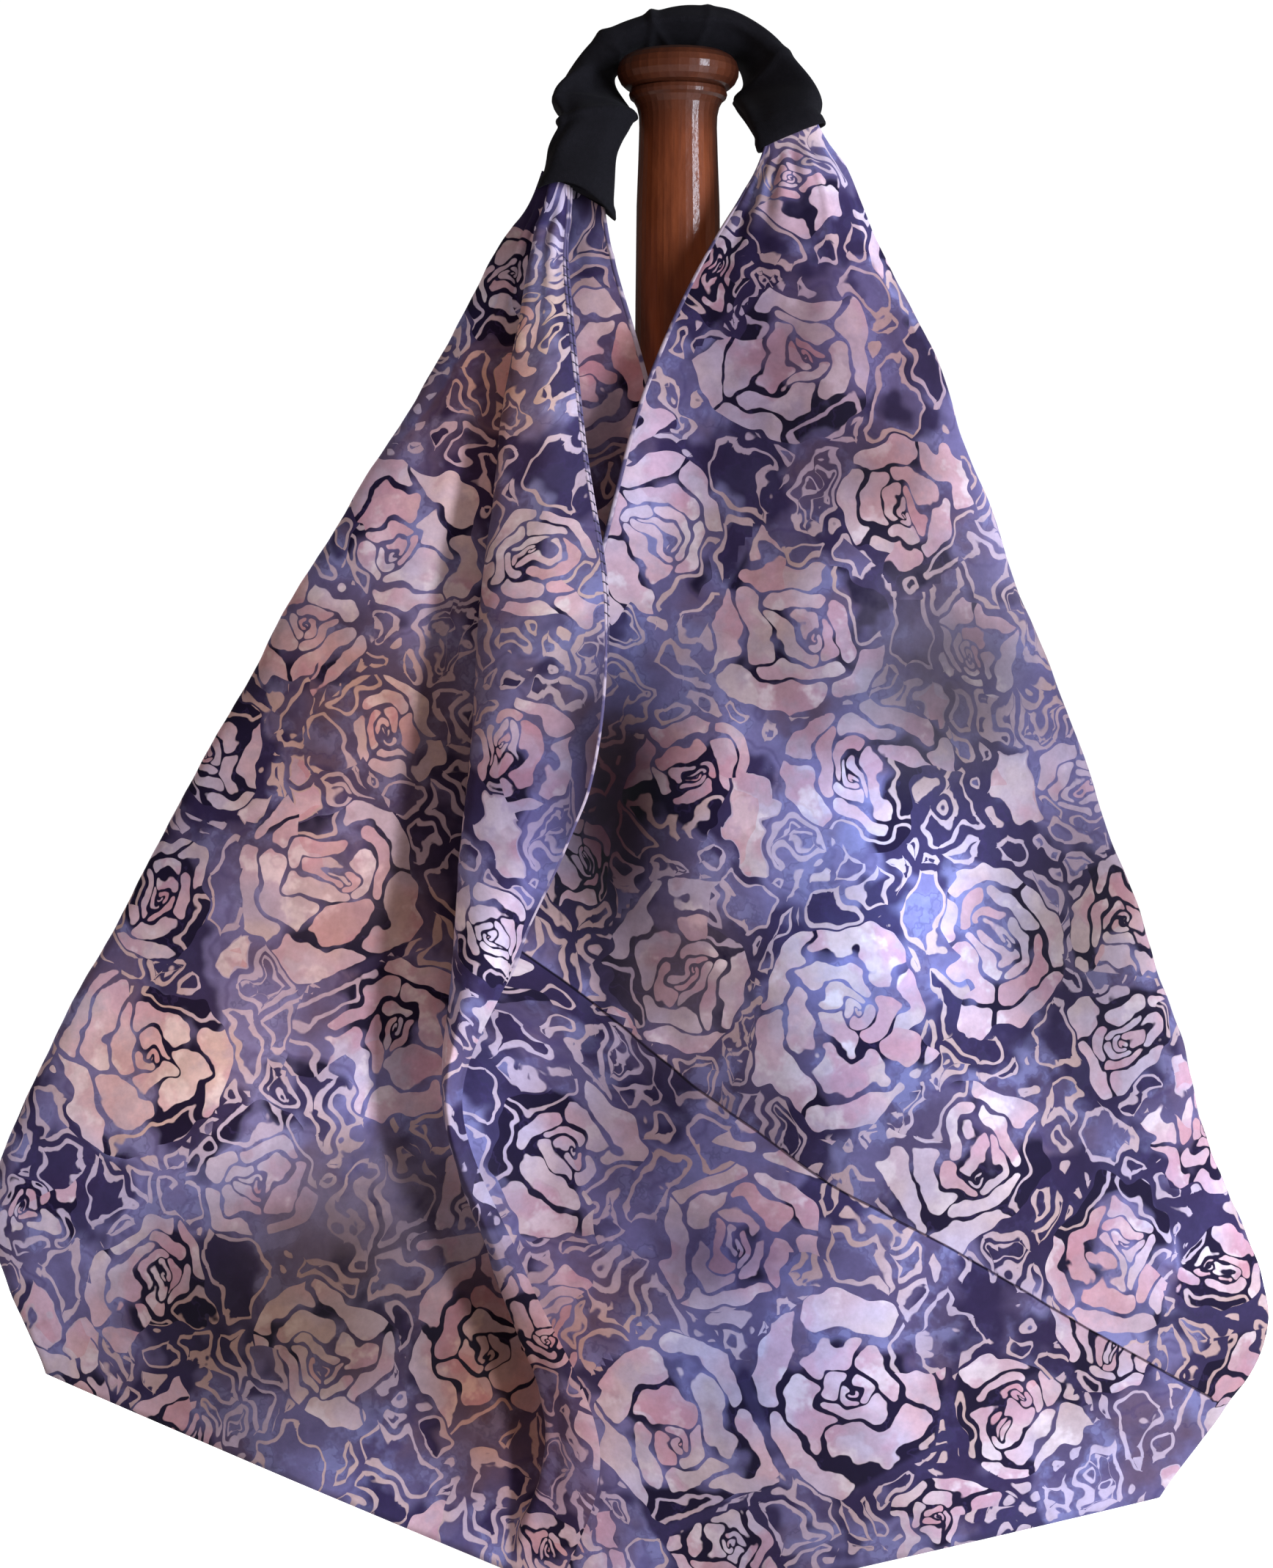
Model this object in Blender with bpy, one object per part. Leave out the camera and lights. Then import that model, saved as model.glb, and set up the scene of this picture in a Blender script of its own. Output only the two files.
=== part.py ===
"""An origami bag of one long cotton strip, hung by its strap from a turned wooden post on a round foot.

Tables are in millimetres and everything built from them is in metres. The foot's underside is the ground,
the post stands on the Z axis, X runs to the viewer's right and Y away from the viewer.
"""

import bmesh
import bpy
import numpy as np

MM = 0.001

CLOTH_THICKNESS = 2.0
ROWS_PER_LEVEL = 2
COLUMNS_PER_FOLD = 3
OPEN_LEVELS = 5
VALLEY_ROUNDING = 12.0

STRAP_END_GAP = 1.5
STRAP_STEPS = 3
STRAP_SECTION_POINTS = 20
STRAP_SQUARENESS = 2.6

POST_SIDES = 36
CAP_TOP = 850.5
CAP_RADIUS = 32.0
CAP_ROLL = 9.5
CAP_ARC_STEPS = 9

FOOT_SIDES = 48
FOOT_RADIUS = 130.0
FOOT_THICKNESS = 24.0
FOOT_EDGE = 9.0
FOOT_ARC_STEPS = 5
FOOT_BEVEL = 2.0
FOOT_GAP = 0.3

# Ten levels run from the strap (0) to the bottom of the bag (9). The cloth's height at a level falls from
# the left side of the bag to the right, and from the right side to the left, by so much in each millimetre.
LEVELS = {
    # level            0     1     2     3     4     5     6     7     8      9
    "left height":  (775,  731,  658,  581,  504,  428,  360,  297,  241,   170),
    "left fall":   (0.50, 0.10, 0.19, 0.18, 0.20, 0.22, 0.27, 0.28, 0.34, 0.425),
    "right height": (812,  755,  675,  592,  508,  424,  352,  277,  194,   108),
    "right fall":  (0.52, 0.05, 0.00, 0.00, 0.05, 0.30, 0.29, 0.26, 0.23, 0.225),
}

# The folds of the left part in order, from the hem of its flap round the left side of the bag to the hem at
# the back: each fold's place across (x) and its depth (y) at the ten levels.
LEFT_ACROSS = {
    "hem":         ( -57,  -58,  -49,  -37,  -45,  -80, -112,  -84,  -51,  -70),
    "flap":        ( -62,  -68,  -70,  -67,  -74,  -96, -116,  -90,  -60,  -77),
    "ridge":       ( -68,  -77,  -89,  -98, -105, -111, -118,  -95,  -68,  -84),
    "valley":      ( -62,  -66,  -67,  -67,  -71,  -89, -119,  -86,  -64,  -90),
    "dip":         ( -69,  -80,  -91, -106, -122, -136, -150, -137, -121, -137),
    "panel":       ( -72,  -88, -110, -138, -165, -188, -211, -219, -214, -209),
    "side":        ( -73,  -99, -139, -187, -230, -270, -305, -336, -348, -320),
    "back outer":  ( -66,  -84, -108, -140, -169, -189, -217, -233, -228, -213),
    "back inner":  ( -52,  -56,  -55,  -55,  -59,  -59,  -75,  -91, -103, -122),
    "back hem":    ( -36,  -30,   -6,   10,   26,   48,   38,   14,   -7,  -29),
}
LEFT_DEPTH = {
    "hem":         ( -36,  -54,  -72,  -84,  -90,  -84,  -87,  -85,  -88,  -67),
    "flap":        ( -37,  -56,  -78,  -92, -100, -100,  -92,  -85,  -84,  -67),
    "ridge":       ( -34,  -49,  -66,  -76,  -84,  -88,  -82,  -80,  -80,  -66),
    "valley":      ( -26,  -34,  -42,  -46,  -46,  -48,  -52,  -56,  -62,  -66),
    "dip":         ( -26,  -37,  -48,  -52,  -54,  -56,  -58,  -64,  -70,  -66),
    "panel":       ( -23,  -38,  -50,  -60,  -66,  -72,  -76,  -82,  -84,  -66),
    "side":        ( -19,  -26,  -32,  -38,  -42,  -46,  -50,  -54,  -58,  -62),
    "back outer":  ( -15,  -20,  -22,  -22,  -22,  -22,  -24,  -28,  -34,  -60),
    "back inner":  ( -14,  -20,  -26,  -28,  -28,  -28,  -28,  -30,  -34,  -62),
    "back hem":    ( -16,  -24,  -34,  -34,  -33,  -33,  -33,  -34,  -38,  -62),
}

# The same for the right part, from its front hem round the right side to the hem at the back.
RIGHT_ACROSS = {
    "hem":         (  44,   21,  -15,  -38,  -61,  -80, -110,  -78,  -40,  -61),
    "shade":       (  48,   34,    9,   -7,  -27,  -42,  -66,  -34,   -3,  -27),
    "slope":       (  54,   47,   37,   33,   25,   21,   13,   36,   59,   37),
    "crest":       (  60,   65,   72,   83,   90,   97,  101,  116,  128,  108),
    "panel":       (  66,   83,  104,  123,  142,  161,  180,  200,  216,  175),
    "side":        (  71,   99,  135,  163,  196,  225,  249,  270,  297,  242),
    "back outer":  (  67,   87,  111,  131,  156,  180,  200,  215,  226,  172),
    "back inner":  (  60,   71,   83,   95,  107,  115,  123,  127,  126,   84),
    "back hem":    (  55,   58,   60,   60,   57,   48,   38,   14,   -7,  -29),
}
RIGHT_DEPTH = {
    "hem":         ( -29,  -37,  -50,  -60,  -66,  -84,  -72,  -83,  -90,  -68),
    "shade":       ( -31,  -43,  -54,  -58,  -56,  -56,  -58,  -84,  -94,  -69),
    "slope":       ( -32,  -49,  -64,  -72,  -74,  -80,  -88, -102, -106,  -70),
    "crest":       ( -32,  -51,  -72,  -88, -100, -108, -112, -112, -104,  -70),
    "panel":       ( -30,  -45,  -60,  -70,  -78,  -84,  -88,  -88,  -84,  -68),
    "side":        ( -24,  -30,  -36,  -42,  -46,  -50,  -54,  -58,  -62,  -64),
    "back outer":  ( -18,  -24,  -26,  -26,  -26,  -28,  -30,  -34,  -42,  -62),
    "back inner":  ( -18,  -24,  -28,  -28,  -28,  -28,  -28,  -30,  -36,  -63),
    "back hem":    ( -20,  -26,  -30,  -32,  -33,  -33,  -33,  -34,  -38,  -62),
}

# The strap is a flattened cloth tube: its outer edge, its inner edge and its thickness at each bend, from
# the left ear over the back of the post's cap to the right ear.
STRAP_BENDS = (
    ((-73, -26, 775), (-34, -26, 755.5), 24),
    ((-67, -22, 795), (-33, -19, 789), 15),
    ((-61, -15, 813), (-26, -10, 811), 14),
    ((-65, -6, 827), (-29, 7, 825), 16),
    ((-57, -3, 840), (-34, 18, 839), 16),
    ((-46, 0, 852), (-32, 25, 850), 16),
    ((-33, 3, 862), (-28, 29, 853.6), 16),
    ((-20, 5, 869), (-17, 30, 853.6), 16),
    ((-6, 5, 873), (-4, 30, 853.6), 16),
    ((10, 5, 874), (9, 30, 853.6), 16),
    ((28, 4, 873), (22, 30, 853.6), 16),
    ((44, 2, 863), (33, 28, 851), 14),
    ((58, -3, 850), (35, 21, 839), 12),
    ((70, -11, 835), (29, 14, 827), 12),
    ((73, -18, 822), (36, -10, 813), 14),
    ((72, -25, 812.5), (42, -25, 797), 20),
)

# The turned shaft below the cap, as radius and height, from the bead under the cap down to the foot.
SHAFT = (
    (25.4, 831.0),
    (25.8, 829.0),
    (25.2, 827.2),
    (23.4, 825.8),
    (21.6, 822.5),
    (20.6, 818.0),
    (20.4, 812.0),
    (20.9, 795.0),
    (21.8, 771.0),
    (22.4, 720.0),
    (23.4, 600.0),
    (24.2, 420.0),
    (24.8, 240.0),
    (25.4, 60.0),
    (25.6, FOOT_THICKNESS + FOOT_GAP),
)


def clear_scene():
    """Remove every object that the new file starts with."""
    for item in list(bpy.data.objects):
        bpy.data.objects.remove(item)


def plain_material(name, colour, roughness):
    """A surface of one colour."""
    material = bpy.data.materials.new(name)
    material.use_nodes = True
    shader = material.node_tree.nodes["Principled BSDF"]
    shader.inputs["Base Color"].default_value = (*colour, 1.0)
    shader.inputs["Roughness"].default_value = roughness
    return material


def add_object(name, points, faces, material, edges=()):
    """One named object from points in millimetres, shaded smooth."""
    mesh = bpy.data.meshes.new(name)
    mesh.from_pydata([tuple(point) for point in np.asarray(points) * MM], edges, faces)
    mesh.shade_smooth()
    mesh.materials.append(material)
    item = bpy.data.objects.new(name, mesh)
    bpy.context.scene.collection.objects.link(item)
    return item


def between_levels(values, at):
    """A smooth curve through one value per level, read at fractional levels."""
    values = np.asarray(values, float)
    padded = np.concatenate([[2 * values[0] - values[1]], values, [2 * values[-1] - values[-2]]])
    start = np.minimum(at.astype(int), len(values) - 2)
    step = at - start
    before, first, second, after = (padded[start + offset] for offset in range(4))
    slope_in = (second - before) / 2
    slope_out = (after - first) / 2
    return (
        first * (1 - 3 * step**2 + 2 * step**3)
        + second * (3 * step**2 - 2 * step**3)
        + slope_in * (step - 2 * step**2 + step**3)
        + slope_out * (step**3 - step**2)
    )


def across_folds(points, steps):
    """A smooth curve along each row through the row's folds, with the same steps between each two folds."""
    gaps = np.sqrt(np.linalg.norm(np.diff(points, axis=1), axis=2, keepdims=True))
    rates = np.diff(points, axis=1) / gaps
    inner = (rates[:, :-1] * gaps[:, 1:] + rates[:, 1:] * gaps[:, :-1]) / (gaps[:, :-1] + gaps[:, 1:])
    slopes = np.concatenate([rates[:, :1], inner, rates[:, -1:]], axis=1)
    columns = []
    for step in np.arange(steps) / steps:
        columns.append(
            points[:, :-1] * (1 - 3 * step**2 + 2 * step**3)
            + points[:, 1:] * (3 * step**2 - 2 * step**3)
            + slopes[:, :-1] * gaps * (step - 2 * step**2 + step**3)
            + slopes[:, 1:] * gaps * (step**3 - step**2)
        )
    curves = np.stack(columns, axis=2).reshape(len(points), -1, 3)
    return np.concatenate([curves, points[:, -1:]], axis=1)


def cloth_height(across, at, left_side, right_side, is_left):
    """Height of the cloth: each part has its own slant above the mouth's foot, and one valley below it."""
    left_height, left_fall, right_height, right_fall = (between_levels(row, at) for row in LEVELS.values())
    left = left_height - left_fall * (across - left_side)
    right = right_height - right_fall * (right_side - across)
    valley = (left + right + np.sqrt((left - right) ** 2 + VALLEY_ROUNDING**2)) / 2
    joined = np.clip(at - (OPEN_LEVELS - 1), 0, 1)
    joined = joined**2 * (3 - 2 * joined)
    own = left if is_left else right
    return own + joined * (valley - own)


def fold_places(across, depth, at):
    """Where the folds of a part are at fractional levels, as rows of (x, y)."""
    places = [[between_levels(values, at) for values in (across[fold], depth[fold])] for fold in across]
    return np.array(places).transpose(2, 0, 1)


def cloth_rows(at, steps):
    """The left part and the right part of the cloth, each as rows of points."""
    left, right = fold_places(LEFT_ACROSS, LEFT_DEPTH, at), fold_places(RIGHT_ACROSS, RIGHT_DEPTH, at)
    closed = at >= OPEN_LEVELS
    left[closed, -1] = right[closed, -1] = (left[closed, -1] + right[closed, -1]) / 2
    left_side = left[:, list(LEFT_ACROSS).index("side"), :1]
    right_side = right[:, list(RIGHT_ACROSS).index("side"), :1]
    parts = []
    for part, is_left in ((left, True), (right, False)):
        height = cloth_height(part[..., 0], at[:, None], left_side, right_side, is_left)
        parts.append(across_folds(np.concatenate([part, height[..., None]], axis=2), steps))
    return parts


def grid_faces(rows, columns, first):
    """Four-sided faces over a grid of points numbered row by row from first."""
    corner = first + np.arange(rows - 1)[:, None] * columns + np.arange(columns - 1)
    corner = corner.ravel()
    return np.stack([corner, corner + columns, corner + columns + 1, corner + 1], axis=1).tolist()


def zip_rows(front, back, points):
    """Triangles between two rows of points that run to the right and share both ends."""
    faces = [[front[0], back[1], front[1]], [front[-2], back[-2], front[-1]]]
    low, high = 1, 1
    while low < len(front) - 2 or high < len(back) - 2:
        take_front = high == len(back) - 2 or (
            low < len(front) - 2 and points[front[low + 1]][0] <= points[back[high + 1]][0]
        )
        if take_front:
            faces.append([front[low], back[high], front[low + 1]])
            low += 1
        else:
            faces.append([front[low], back[high], back[high + 1]])
            high += 1
    return faces


def build_bag(material):
    """The whole cloth as one sheet: two ears, the flap and its roll, and the bottom."""
    at = np.arange(9 * ROWS_PER_LEVEL + 1) / ROWS_PER_LEVEL
    left, right = cloth_rows(at, COLUMNS_PER_FOLD)
    first_joined = OPEN_LEVELS * ROWS_PER_LEVEL
    roll_from, roll_to = right[first_joined:, 0], left[first_joined:, 0]
    roll = np.stack([roll_from, (roll_from + roll_to) / 2, roll_to], axis=1)
    points = []
    faces = []
    for part, turned in ((left, False), (right, True), (roll, False)):
        found = grid_faces(part.shape[0], part.shape[1], len(points))
        faces += [face[::-1] for face in found] if turned else found
        points += part.reshape(-1, 3).tolist()

    last_left = (len(at) - 1) * left.shape[1]
    last_right = left.shape[0] * left.shape[1] + (len(at) - 1) * right.shape[1]
    left_side = list(LEFT_ACROSS).index("side") * COLUMNS_PER_FOLD
    right_side = list(RIGHT_ACROSS).index("side") * COLUMNS_PER_FOLD
    roll_end = len(points) - 3
    front = [last_left + left_side - i for i in range(left_side)] + [roll_end + 2, roll_end + 1]
    front += [last_right + i for i in range(right_side + 1)]
    back = [last_left + i for i in range(left_side, left.shape[1])]
    back += [last_right + i for i in range(right.shape[1] - 2, right_side - 1, -1)]
    faces += zip_rows(front, back, points)

    bag = add_object("bag", points, faces, material)
    shell = bmesh.new()
    shell.from_mesh(bag.data)
    bmesh.ops.remove_doubles(shell, verts=shell.verts, dist=0.01 * MM)
    bmesh.ops.recalc_face_normals(shell, faces=shell.faces)
    shell.to_mesh(bag.data)
    shell.free()
    solid = bag.modifiers.new("thickness", "SOLIDIFY")
    solid.thickness = CLOTH_THICKNESS * MM
    solid.offset = 0.0
    return bag


def build_strap(material):
    """The black tube strap, closed at both ends against the ears."""
    bends = np.array([[*outer, *inner, thick] for outer, inner, thick in STRAP_BENDS], float)
    bends[[0, -1], 2] += STRAP_END_GAP
    bends[[0, -1], 5] += STRAP_END_GAP
    at = np.arange((len(bends) - 1) * STRAP_STEPS + 1) / STRAP_STEPS
    rows = np.stack([between_levels(column, at) for column in bends.T], axis=1)
    outer, inner, thick = rows[:, :3], rows[:, 3:6], rows[:, 6]
    centre = (outer + inner) / 2
    half = (inner - outer) / 2
    along = np.gradient(centre, axis=0)
    away = np.cross(along, half)
    away[0] = (0, 1, 0)
    away[-1] = (0, 1, 0)
    away *= np.sign(away[:, 1:2])
    away /= np.linalg.norm(away, axis=1, keepdims=True)
    turn = np.linspace(0, 2 * np.pi, STRAP_SECTION_POINTS, endpoint=False)
    wide = np.sign(np.cos(turn)) * np.abs(np.cos(turn)) ** (2 / STRAP_SQUARENESS)
    deep = np.sign(np.sin(turn)) * np.abs(np.sin(turn)) ** (2 / STRAP_SQUARENESS)
    points = (
        centre[:, None]
        + half[:, None] * wide[None, :, None]
        + away[:, None] * (thick[:, None] / 2 * deep[None, :])[..., None]
    ).reshape(-1, 3)
    count = STRAP_SECTION_POINTS
    faces = []
    for first in range(0, (len(at) - 1) * count, count):
        for column in range(count):
            here, after = first + column, first + (column + 1) % count
            faces.append([here, after, after + count, here + count])
    faces.append(list(range(count))[::-1])
    faces.append([(len(at) - 1) * count + column for column in range(count)])
    strap = add_object("strap", points, faces, material)
    shell = bmesh.new()
    shell.from_mesh(strap.data)
    bmesh.ops.recalc_face_normals(shell, faces=shell.faces)
    shell.to_mesh(strap.data)
    shell.free()
    return strap


def rounded(radius, top, roll, start, end, steps):
    """An arc of a round edge, as radius and height, between two angles above the level direction."""
    angles = np.radians(np.linspace(start, end, steps))
    return [(radius - roll + roll * np.cos(angle), top - roll + roll * np.sin(angle)) for angle in angles]


def turned(name, profile, sides, material):
    """A round piece from a profile of radius and height, from its top middle to its bottom middle."""
    edges = [(i, i + 1) for i in range(len(profile) - 1)]
    item = add_object(name, [(radius, 0, height) for radius, height in profile], [], material, edges)
    screw = item.modifiers.new("turning", "SCREW")
    screw.steps = sides
    screw.render_steps = sides
    screw.use_merge_vertices = True
    screw.merge_threshold = 0.00001
    screw.use_smooth_shade = True
    return item


def build_post(material):
    """The turned post: a flat cap with a rounded rim, a bead, a hollow neck and a gently swelling shaft."""
    rim = rounded(CAP_RADIUS, CAP_TOP, CAP_ROLL, 90, -78, CAP_ARC_STEPS)
    profile = [(0, CAP_TOP), *rim, *SHAFT, (0, SHAFT[-1][1])]
    return turned("post", profile, POST_SIDES, material)


def build_foot(material):
    """The plain round foot that the post stands on."""
    edge = rounded(FOOT_RADIUS, FOOT_THICKNESS, FOOT_EDGE, 90, 0, FOOT_ARC_STEPS)
    bevel = (FOOT_RADIUS, FOOT_BEVEL), (FOOT_RADIUS - FOOT_BEVEL, 0)
    profile = [(0, FOOT_THICKNESS), *edge, *bevel, (0, 0)]
    return turned("foot", profile, FOOT_SIDES, material)


def main():
    clear_scene()
    batik = plain_material("batik cotton", (0.38, 0.32, 0.52), 0.8)
    black = plain_material("black cotton", (0.012, 0.012, 0.015), 0.9)
    wood = plain_material("varnished wood", (0.20, 0.055, 0.02), 0.3)
    build_bag(batik)
    build_strap(black)
    build_post(wood)
    build_foot(wood)


main()
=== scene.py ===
# %% [markdown]
# # An origami bag on its post
# The bag is one long strip of printed cotton, folded and sewn so that it ends in two pointed ears.
# A short black cloth tube joins the ears, and hangs over the cap of a turned wooden post.
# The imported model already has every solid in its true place. This lesson gives the cloth its fine
# folds, its print and its hems, the strap its creases, and the wood its varnish.

import bmesh
import bpy
import numpy as np
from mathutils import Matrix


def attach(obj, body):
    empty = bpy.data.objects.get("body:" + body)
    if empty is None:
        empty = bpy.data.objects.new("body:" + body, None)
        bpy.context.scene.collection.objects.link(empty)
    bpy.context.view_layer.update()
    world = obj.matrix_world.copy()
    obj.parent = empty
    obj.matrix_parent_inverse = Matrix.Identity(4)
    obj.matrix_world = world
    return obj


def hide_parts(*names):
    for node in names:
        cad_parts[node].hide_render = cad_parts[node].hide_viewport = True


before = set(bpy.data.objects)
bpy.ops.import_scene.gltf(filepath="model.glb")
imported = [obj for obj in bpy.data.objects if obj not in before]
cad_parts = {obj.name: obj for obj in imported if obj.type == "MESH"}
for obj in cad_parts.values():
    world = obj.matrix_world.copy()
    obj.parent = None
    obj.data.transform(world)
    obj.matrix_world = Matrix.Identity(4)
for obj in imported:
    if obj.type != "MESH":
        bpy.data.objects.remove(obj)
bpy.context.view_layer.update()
MM = 0.001

# %% [markdown]
# ## The camera
# The photo was taken straight on, a little under two metres from the post. A level camera at the
# height of the picture's middle gives the same view: its lens follows from how much of the bag's
# front the picture covers at that distance. Blender measures the sensor along the longer side.

# %% Set up the camera
CAMERA_PLACE = (-0.0218, -1.76, 0.468)
COVERED_HEIGHT = 0.794
COVERED_AT = 1.70
SENSOR = 36.0

camera_data = bpy.data.cameras.new("camera")
camera_data.sensor_width = SENSOR
camera_data.lens = SENSOR * COVERED_AT / COVERED_HEIGHT
camera = bpy.data.objects.new("camera", camera_data)
camera.location = CAMERA_PLACE
camera.rotation_euler = (np.pi / 2, 0, 0)
bpy.context.scene.collection.objects.link(camera)
bpy.context.scene.camera = camera
print("lens, millimetres:", round(camera_data.lens, 1))

# %% [markdown]
# ## How the cloth hangs
# A hung bag is a few long folds that run from the ears to the bottom. So the shape is kept as a
# table: ten levels from the strap down, and at each level the place across and the depth of every
# fold, in millimetres. These are the numbers that the solid was made from. A smooth curve through
# the levels, and another across the folds, then gives the cloth at any fineness.

# %% The table of folds
LEVELS = {
    # level            0     1     2     3     4     5     6     7     8      9
    "left height":  (775,  731,  658,  581,  504,  428,  360,  297,  241,   170),
    "left fall":   (0.50, 0.10, 0.19, 0.18, 0.20, 0.22, 0.27, 0.28, 0.34, 0.425),
    "right height": (812,  755,  675,  592,  508,  424,  352,  277,  194,   108),
    "right fall":  (0.52, 0.05, 0.00, 0.00, 0.05, 0.30, 0.29, 0.26, 0.23, 0.225),
}
LEFT_ACROSS = {
    "hem":         ( -57,  -58,  -49,  -37,  -45,  -80, -112,  -84,  -51,  -70),
    "flap":        ( -62,  -68,  -70,  -67,  -74,  -96, -116,  -90,  -60,  -77),
    "ridge":       ( -68,  -77,  -89,  -98, -105, -111, -118,  -95,  -68,  -84),
    "valley":      ( -62,  -66,  -67,  -67,  -71,  -89, -119,  -86,  -64,  -90),
    "dip":         ( -69,  -80,  -91, -106, -122, -136, -150, -137, -121, -137),
    "panel":       ( -72,  -88, -110, -138, -165, -188, -211, -219, -214, -209),
    "side":        ( -73,  -99, -139, -187, -230, -270, -305, -336, -348, -320),
    "back outer":  ( -66,  -84, -108, -140, -169, -189, -217, -233, -228, -213),
    "back inner":  ( -52,  -56,  -55,  -55,  -59,  -59,  -75,  -91, -103, -122),
    "back hem":    ( -36,  -30,   -6,   10,   26,   48,   38,   14,   -7,  -29),
}
LEFT_DEPTH = {
    "hem":         ( -36,  -54,  -72,  -84,  -90,  -84,  -87,  -85,  -88,  -67),
    "flap":        ( -37,  -56,  -78,  -92, -100, -100,  -92,  -85,  -84,  -67),
    "ridge":       ( -34,  -49,  -66,  -76,  -84,  -88,  -82,  -80,  -80,  -66),
    "valley":      ( -26,  -34,  -42,  -46,  -46,  -48,  -52,  -56,  -62,  -66),
    "dip":         ( -26,  -37,  -48,  -52,  -54,  -56,  -58,  -64,  -70,  -66),
    "panel":       ( -23,  -38,  -50,  -60,  -66,  -72,  -76,  -82,  -84,  -66),
    "side":        ( -19,  -26,  -32,  -38,  -42,  -46,  -50,  -54,  -58,  -62),
    "back outer":  ( -15,  -20,  -22,  -22,  -22,  -22,  -24,  -28,  -34,  -60),
    "back inner":  ( -14,  -20,  -26,  -28,  -28,  -28,  -28,  -30,  -34,  -62),
    "back hem":    ( -16,  -24,  -34,  -34,  -33,  -33,  -33,  -34,  -38,  -62),
}
RIGHT_ACROSS = {
    "hem":         (  44,   21,  -15,  -38,  -61,  -80, -110,  -78,  -40,  -61),
    "shade":       (  48,   34,    9,   -7,  -27,  -42,  -66,  -34,   -3,  -27),
    "slope":       (  54,   47,   37,   33,   25,   21,   13,   36,   59,   37),
    "crest":       (  60,   65,   72,   83,   90,   97,  101,  116,  128,  108),
    "panel":       (  66,   83,  104,  123,  142,  161,  180,  200,  216,  175),
    "side":        (  71,   99,  135,  163,  196,  225,  249,  270,  297,  242),
    "back outer":  (  67,   87,  111,  131,  156,  180,  200,  215,  226,  172),
    "back inner":  (  60,   71,   83,   95,  107,  115,  123,  127,  126,   84),
    "back hem":    (  55,   58,   60,   60,   57,   48,   38,   14,   -7,  -29),
}
RIGHT_DEPTH = {
    "hem":         ( -29,  -37,  -50,  -60,  -66,  -84,  -72,  -83,  -90,  -68),
    "shade":       ( -31,  -43,  -54,  -58,  -56,  -56,  -58,  -84,  -94,  -69),
    "slope":       ( -32,  -49,  -64,  -72,  -74,  -80,  -88, -102, -106,  -70),
    "crest":       ( -32,  -51,  -72,  -88, -100, -108, -112, -112, -104,  -70),
    "panel":       ( -30,  -45,  -60,  -70,  -78,  -84,  -88,  -88,  -84,  -68),
    "side":        ( -24,  -30,  -36,  -42,  -46,  -50,  -54,  -58,  -62,  -64),
    "back outer":  ( -18,  -24,  -26,  -26,  -26,  -28,  -30,  -34,  -42,  -62),
    "back inner":  ( -18,  -24,  -28,  -28,  -28,  -28,  -28,  -30,  -36,  -63),
    "back hem":    ( -20,  -26,  -30,  -32,  -33,  -33,  -33,  -34,  -38,  -62),
}
OPEN_LEVELS = 5
VALLEY_ROUNDING = 12.0
print("folds:", len(LEFT_ACROSS), "left,", len(RIGHT_ACROSS), "right")

# %% Curves through the table


def rise(share):
    """A smooth step from 0 to 1 as the share goes from 0 to 1."""
    return share**2 * (3 - 2 * share)


def cubic(first, second, slope_in, slope_out, step):
    """The cubic curve from a first value to a second, with these slopes at its ends, read at a step
    from 0 to 1."""
    return (
        first * (1 - 3 * step**2 + 2 * step**3)
        + second * (3 * step**2 - 2 * step**3)
        + slope_in * (step - 2 * step**2 + step**3)
        + slope_out * (step**3 - step**2)
    )


def between_levels(values, at):
    """A smooth curve through one value per level, read at fractional levels. Each stretch is a
    cubic whose slope at a level is half the change between the levels before and after it."""
    values = np.asarray(values, float)
    padded = np.concatenate([[2 * values[0] - values[1]], values, [2 * values[-1] - values[-2]]])
    start = np.minimum(at.astype(int), len(values) - 2)
    before, first, second, after = (padded[start + offset] for offset in range(4))
    return cubic(first, second, (second - before) / 2, (after - first) / 2, at - start)


def across_folds(points, steps):
    """A smooth curve along each row through the row's folds. The cubic's speed follows the square
    root of the distance between folds, so that a short fold next to a long one doesn't overshoot."""
    gaps = np.sqrt(np.linalg.norm(np.diff(points, axis=1), axis=2, keepdims=True))
    rates = np.diff(points, axis=1) / gaps
    inner = (rates[:, :-1] * gaps[:, 1:] + rates[:, 1:] * gaps[:, :-1]) / (gaps[:, :-1] + gaps[:, 1:])
    slopes = np.concatenate([rates[:, :1], inner, rates[:, -1:]], axis=1)
    ends = points[:, :-1], points[:, 1:], slopes[:, :-1] * gaps, slopes[:, 1:] * gaps
    columns = [cubic(*ends, step) for step in np.arange(steps) / steps]
    curves = np.stack(columns, axis=2).reshape(len(points), -1, 3)
    return np.concatenate([curves, points[:, -1:]], axis=1)


def cloth_height(across, at, left_side, right_side, is_left):
    """Height of the cloth. Each ear falls in a straight slant from its own side, and below the
    mouth both slants meet in one rounded valley, the smooth larger one of the two."""
    left_height, left_fall, right_height, right_fall = (between_levels(row, at) for row in LEVELS.values())
    left = left_height - left_fall * (across - left_side)
    right = right_height - right_fall * (right_side - across)
    valley = (left + right + np.sqrt((left - right) ** 2 + VALLEY_ROUNDING**2)) / 2
    joined = rise(np.clip(at - (OPEN_LEVELS - 1), 0, 1))
    own = left if is_left else right
    return own + joined * (valley - own)


def fold_places(across, depth, at):
    """Where the folds of a part are at fractional levels, as rows of (x, y)."""
    places = [[between_levels(values, at) for values in (across[fold], depth[fold])] for fold in across]
    return np.array(places).transpose(2, 0, 1)


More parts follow.
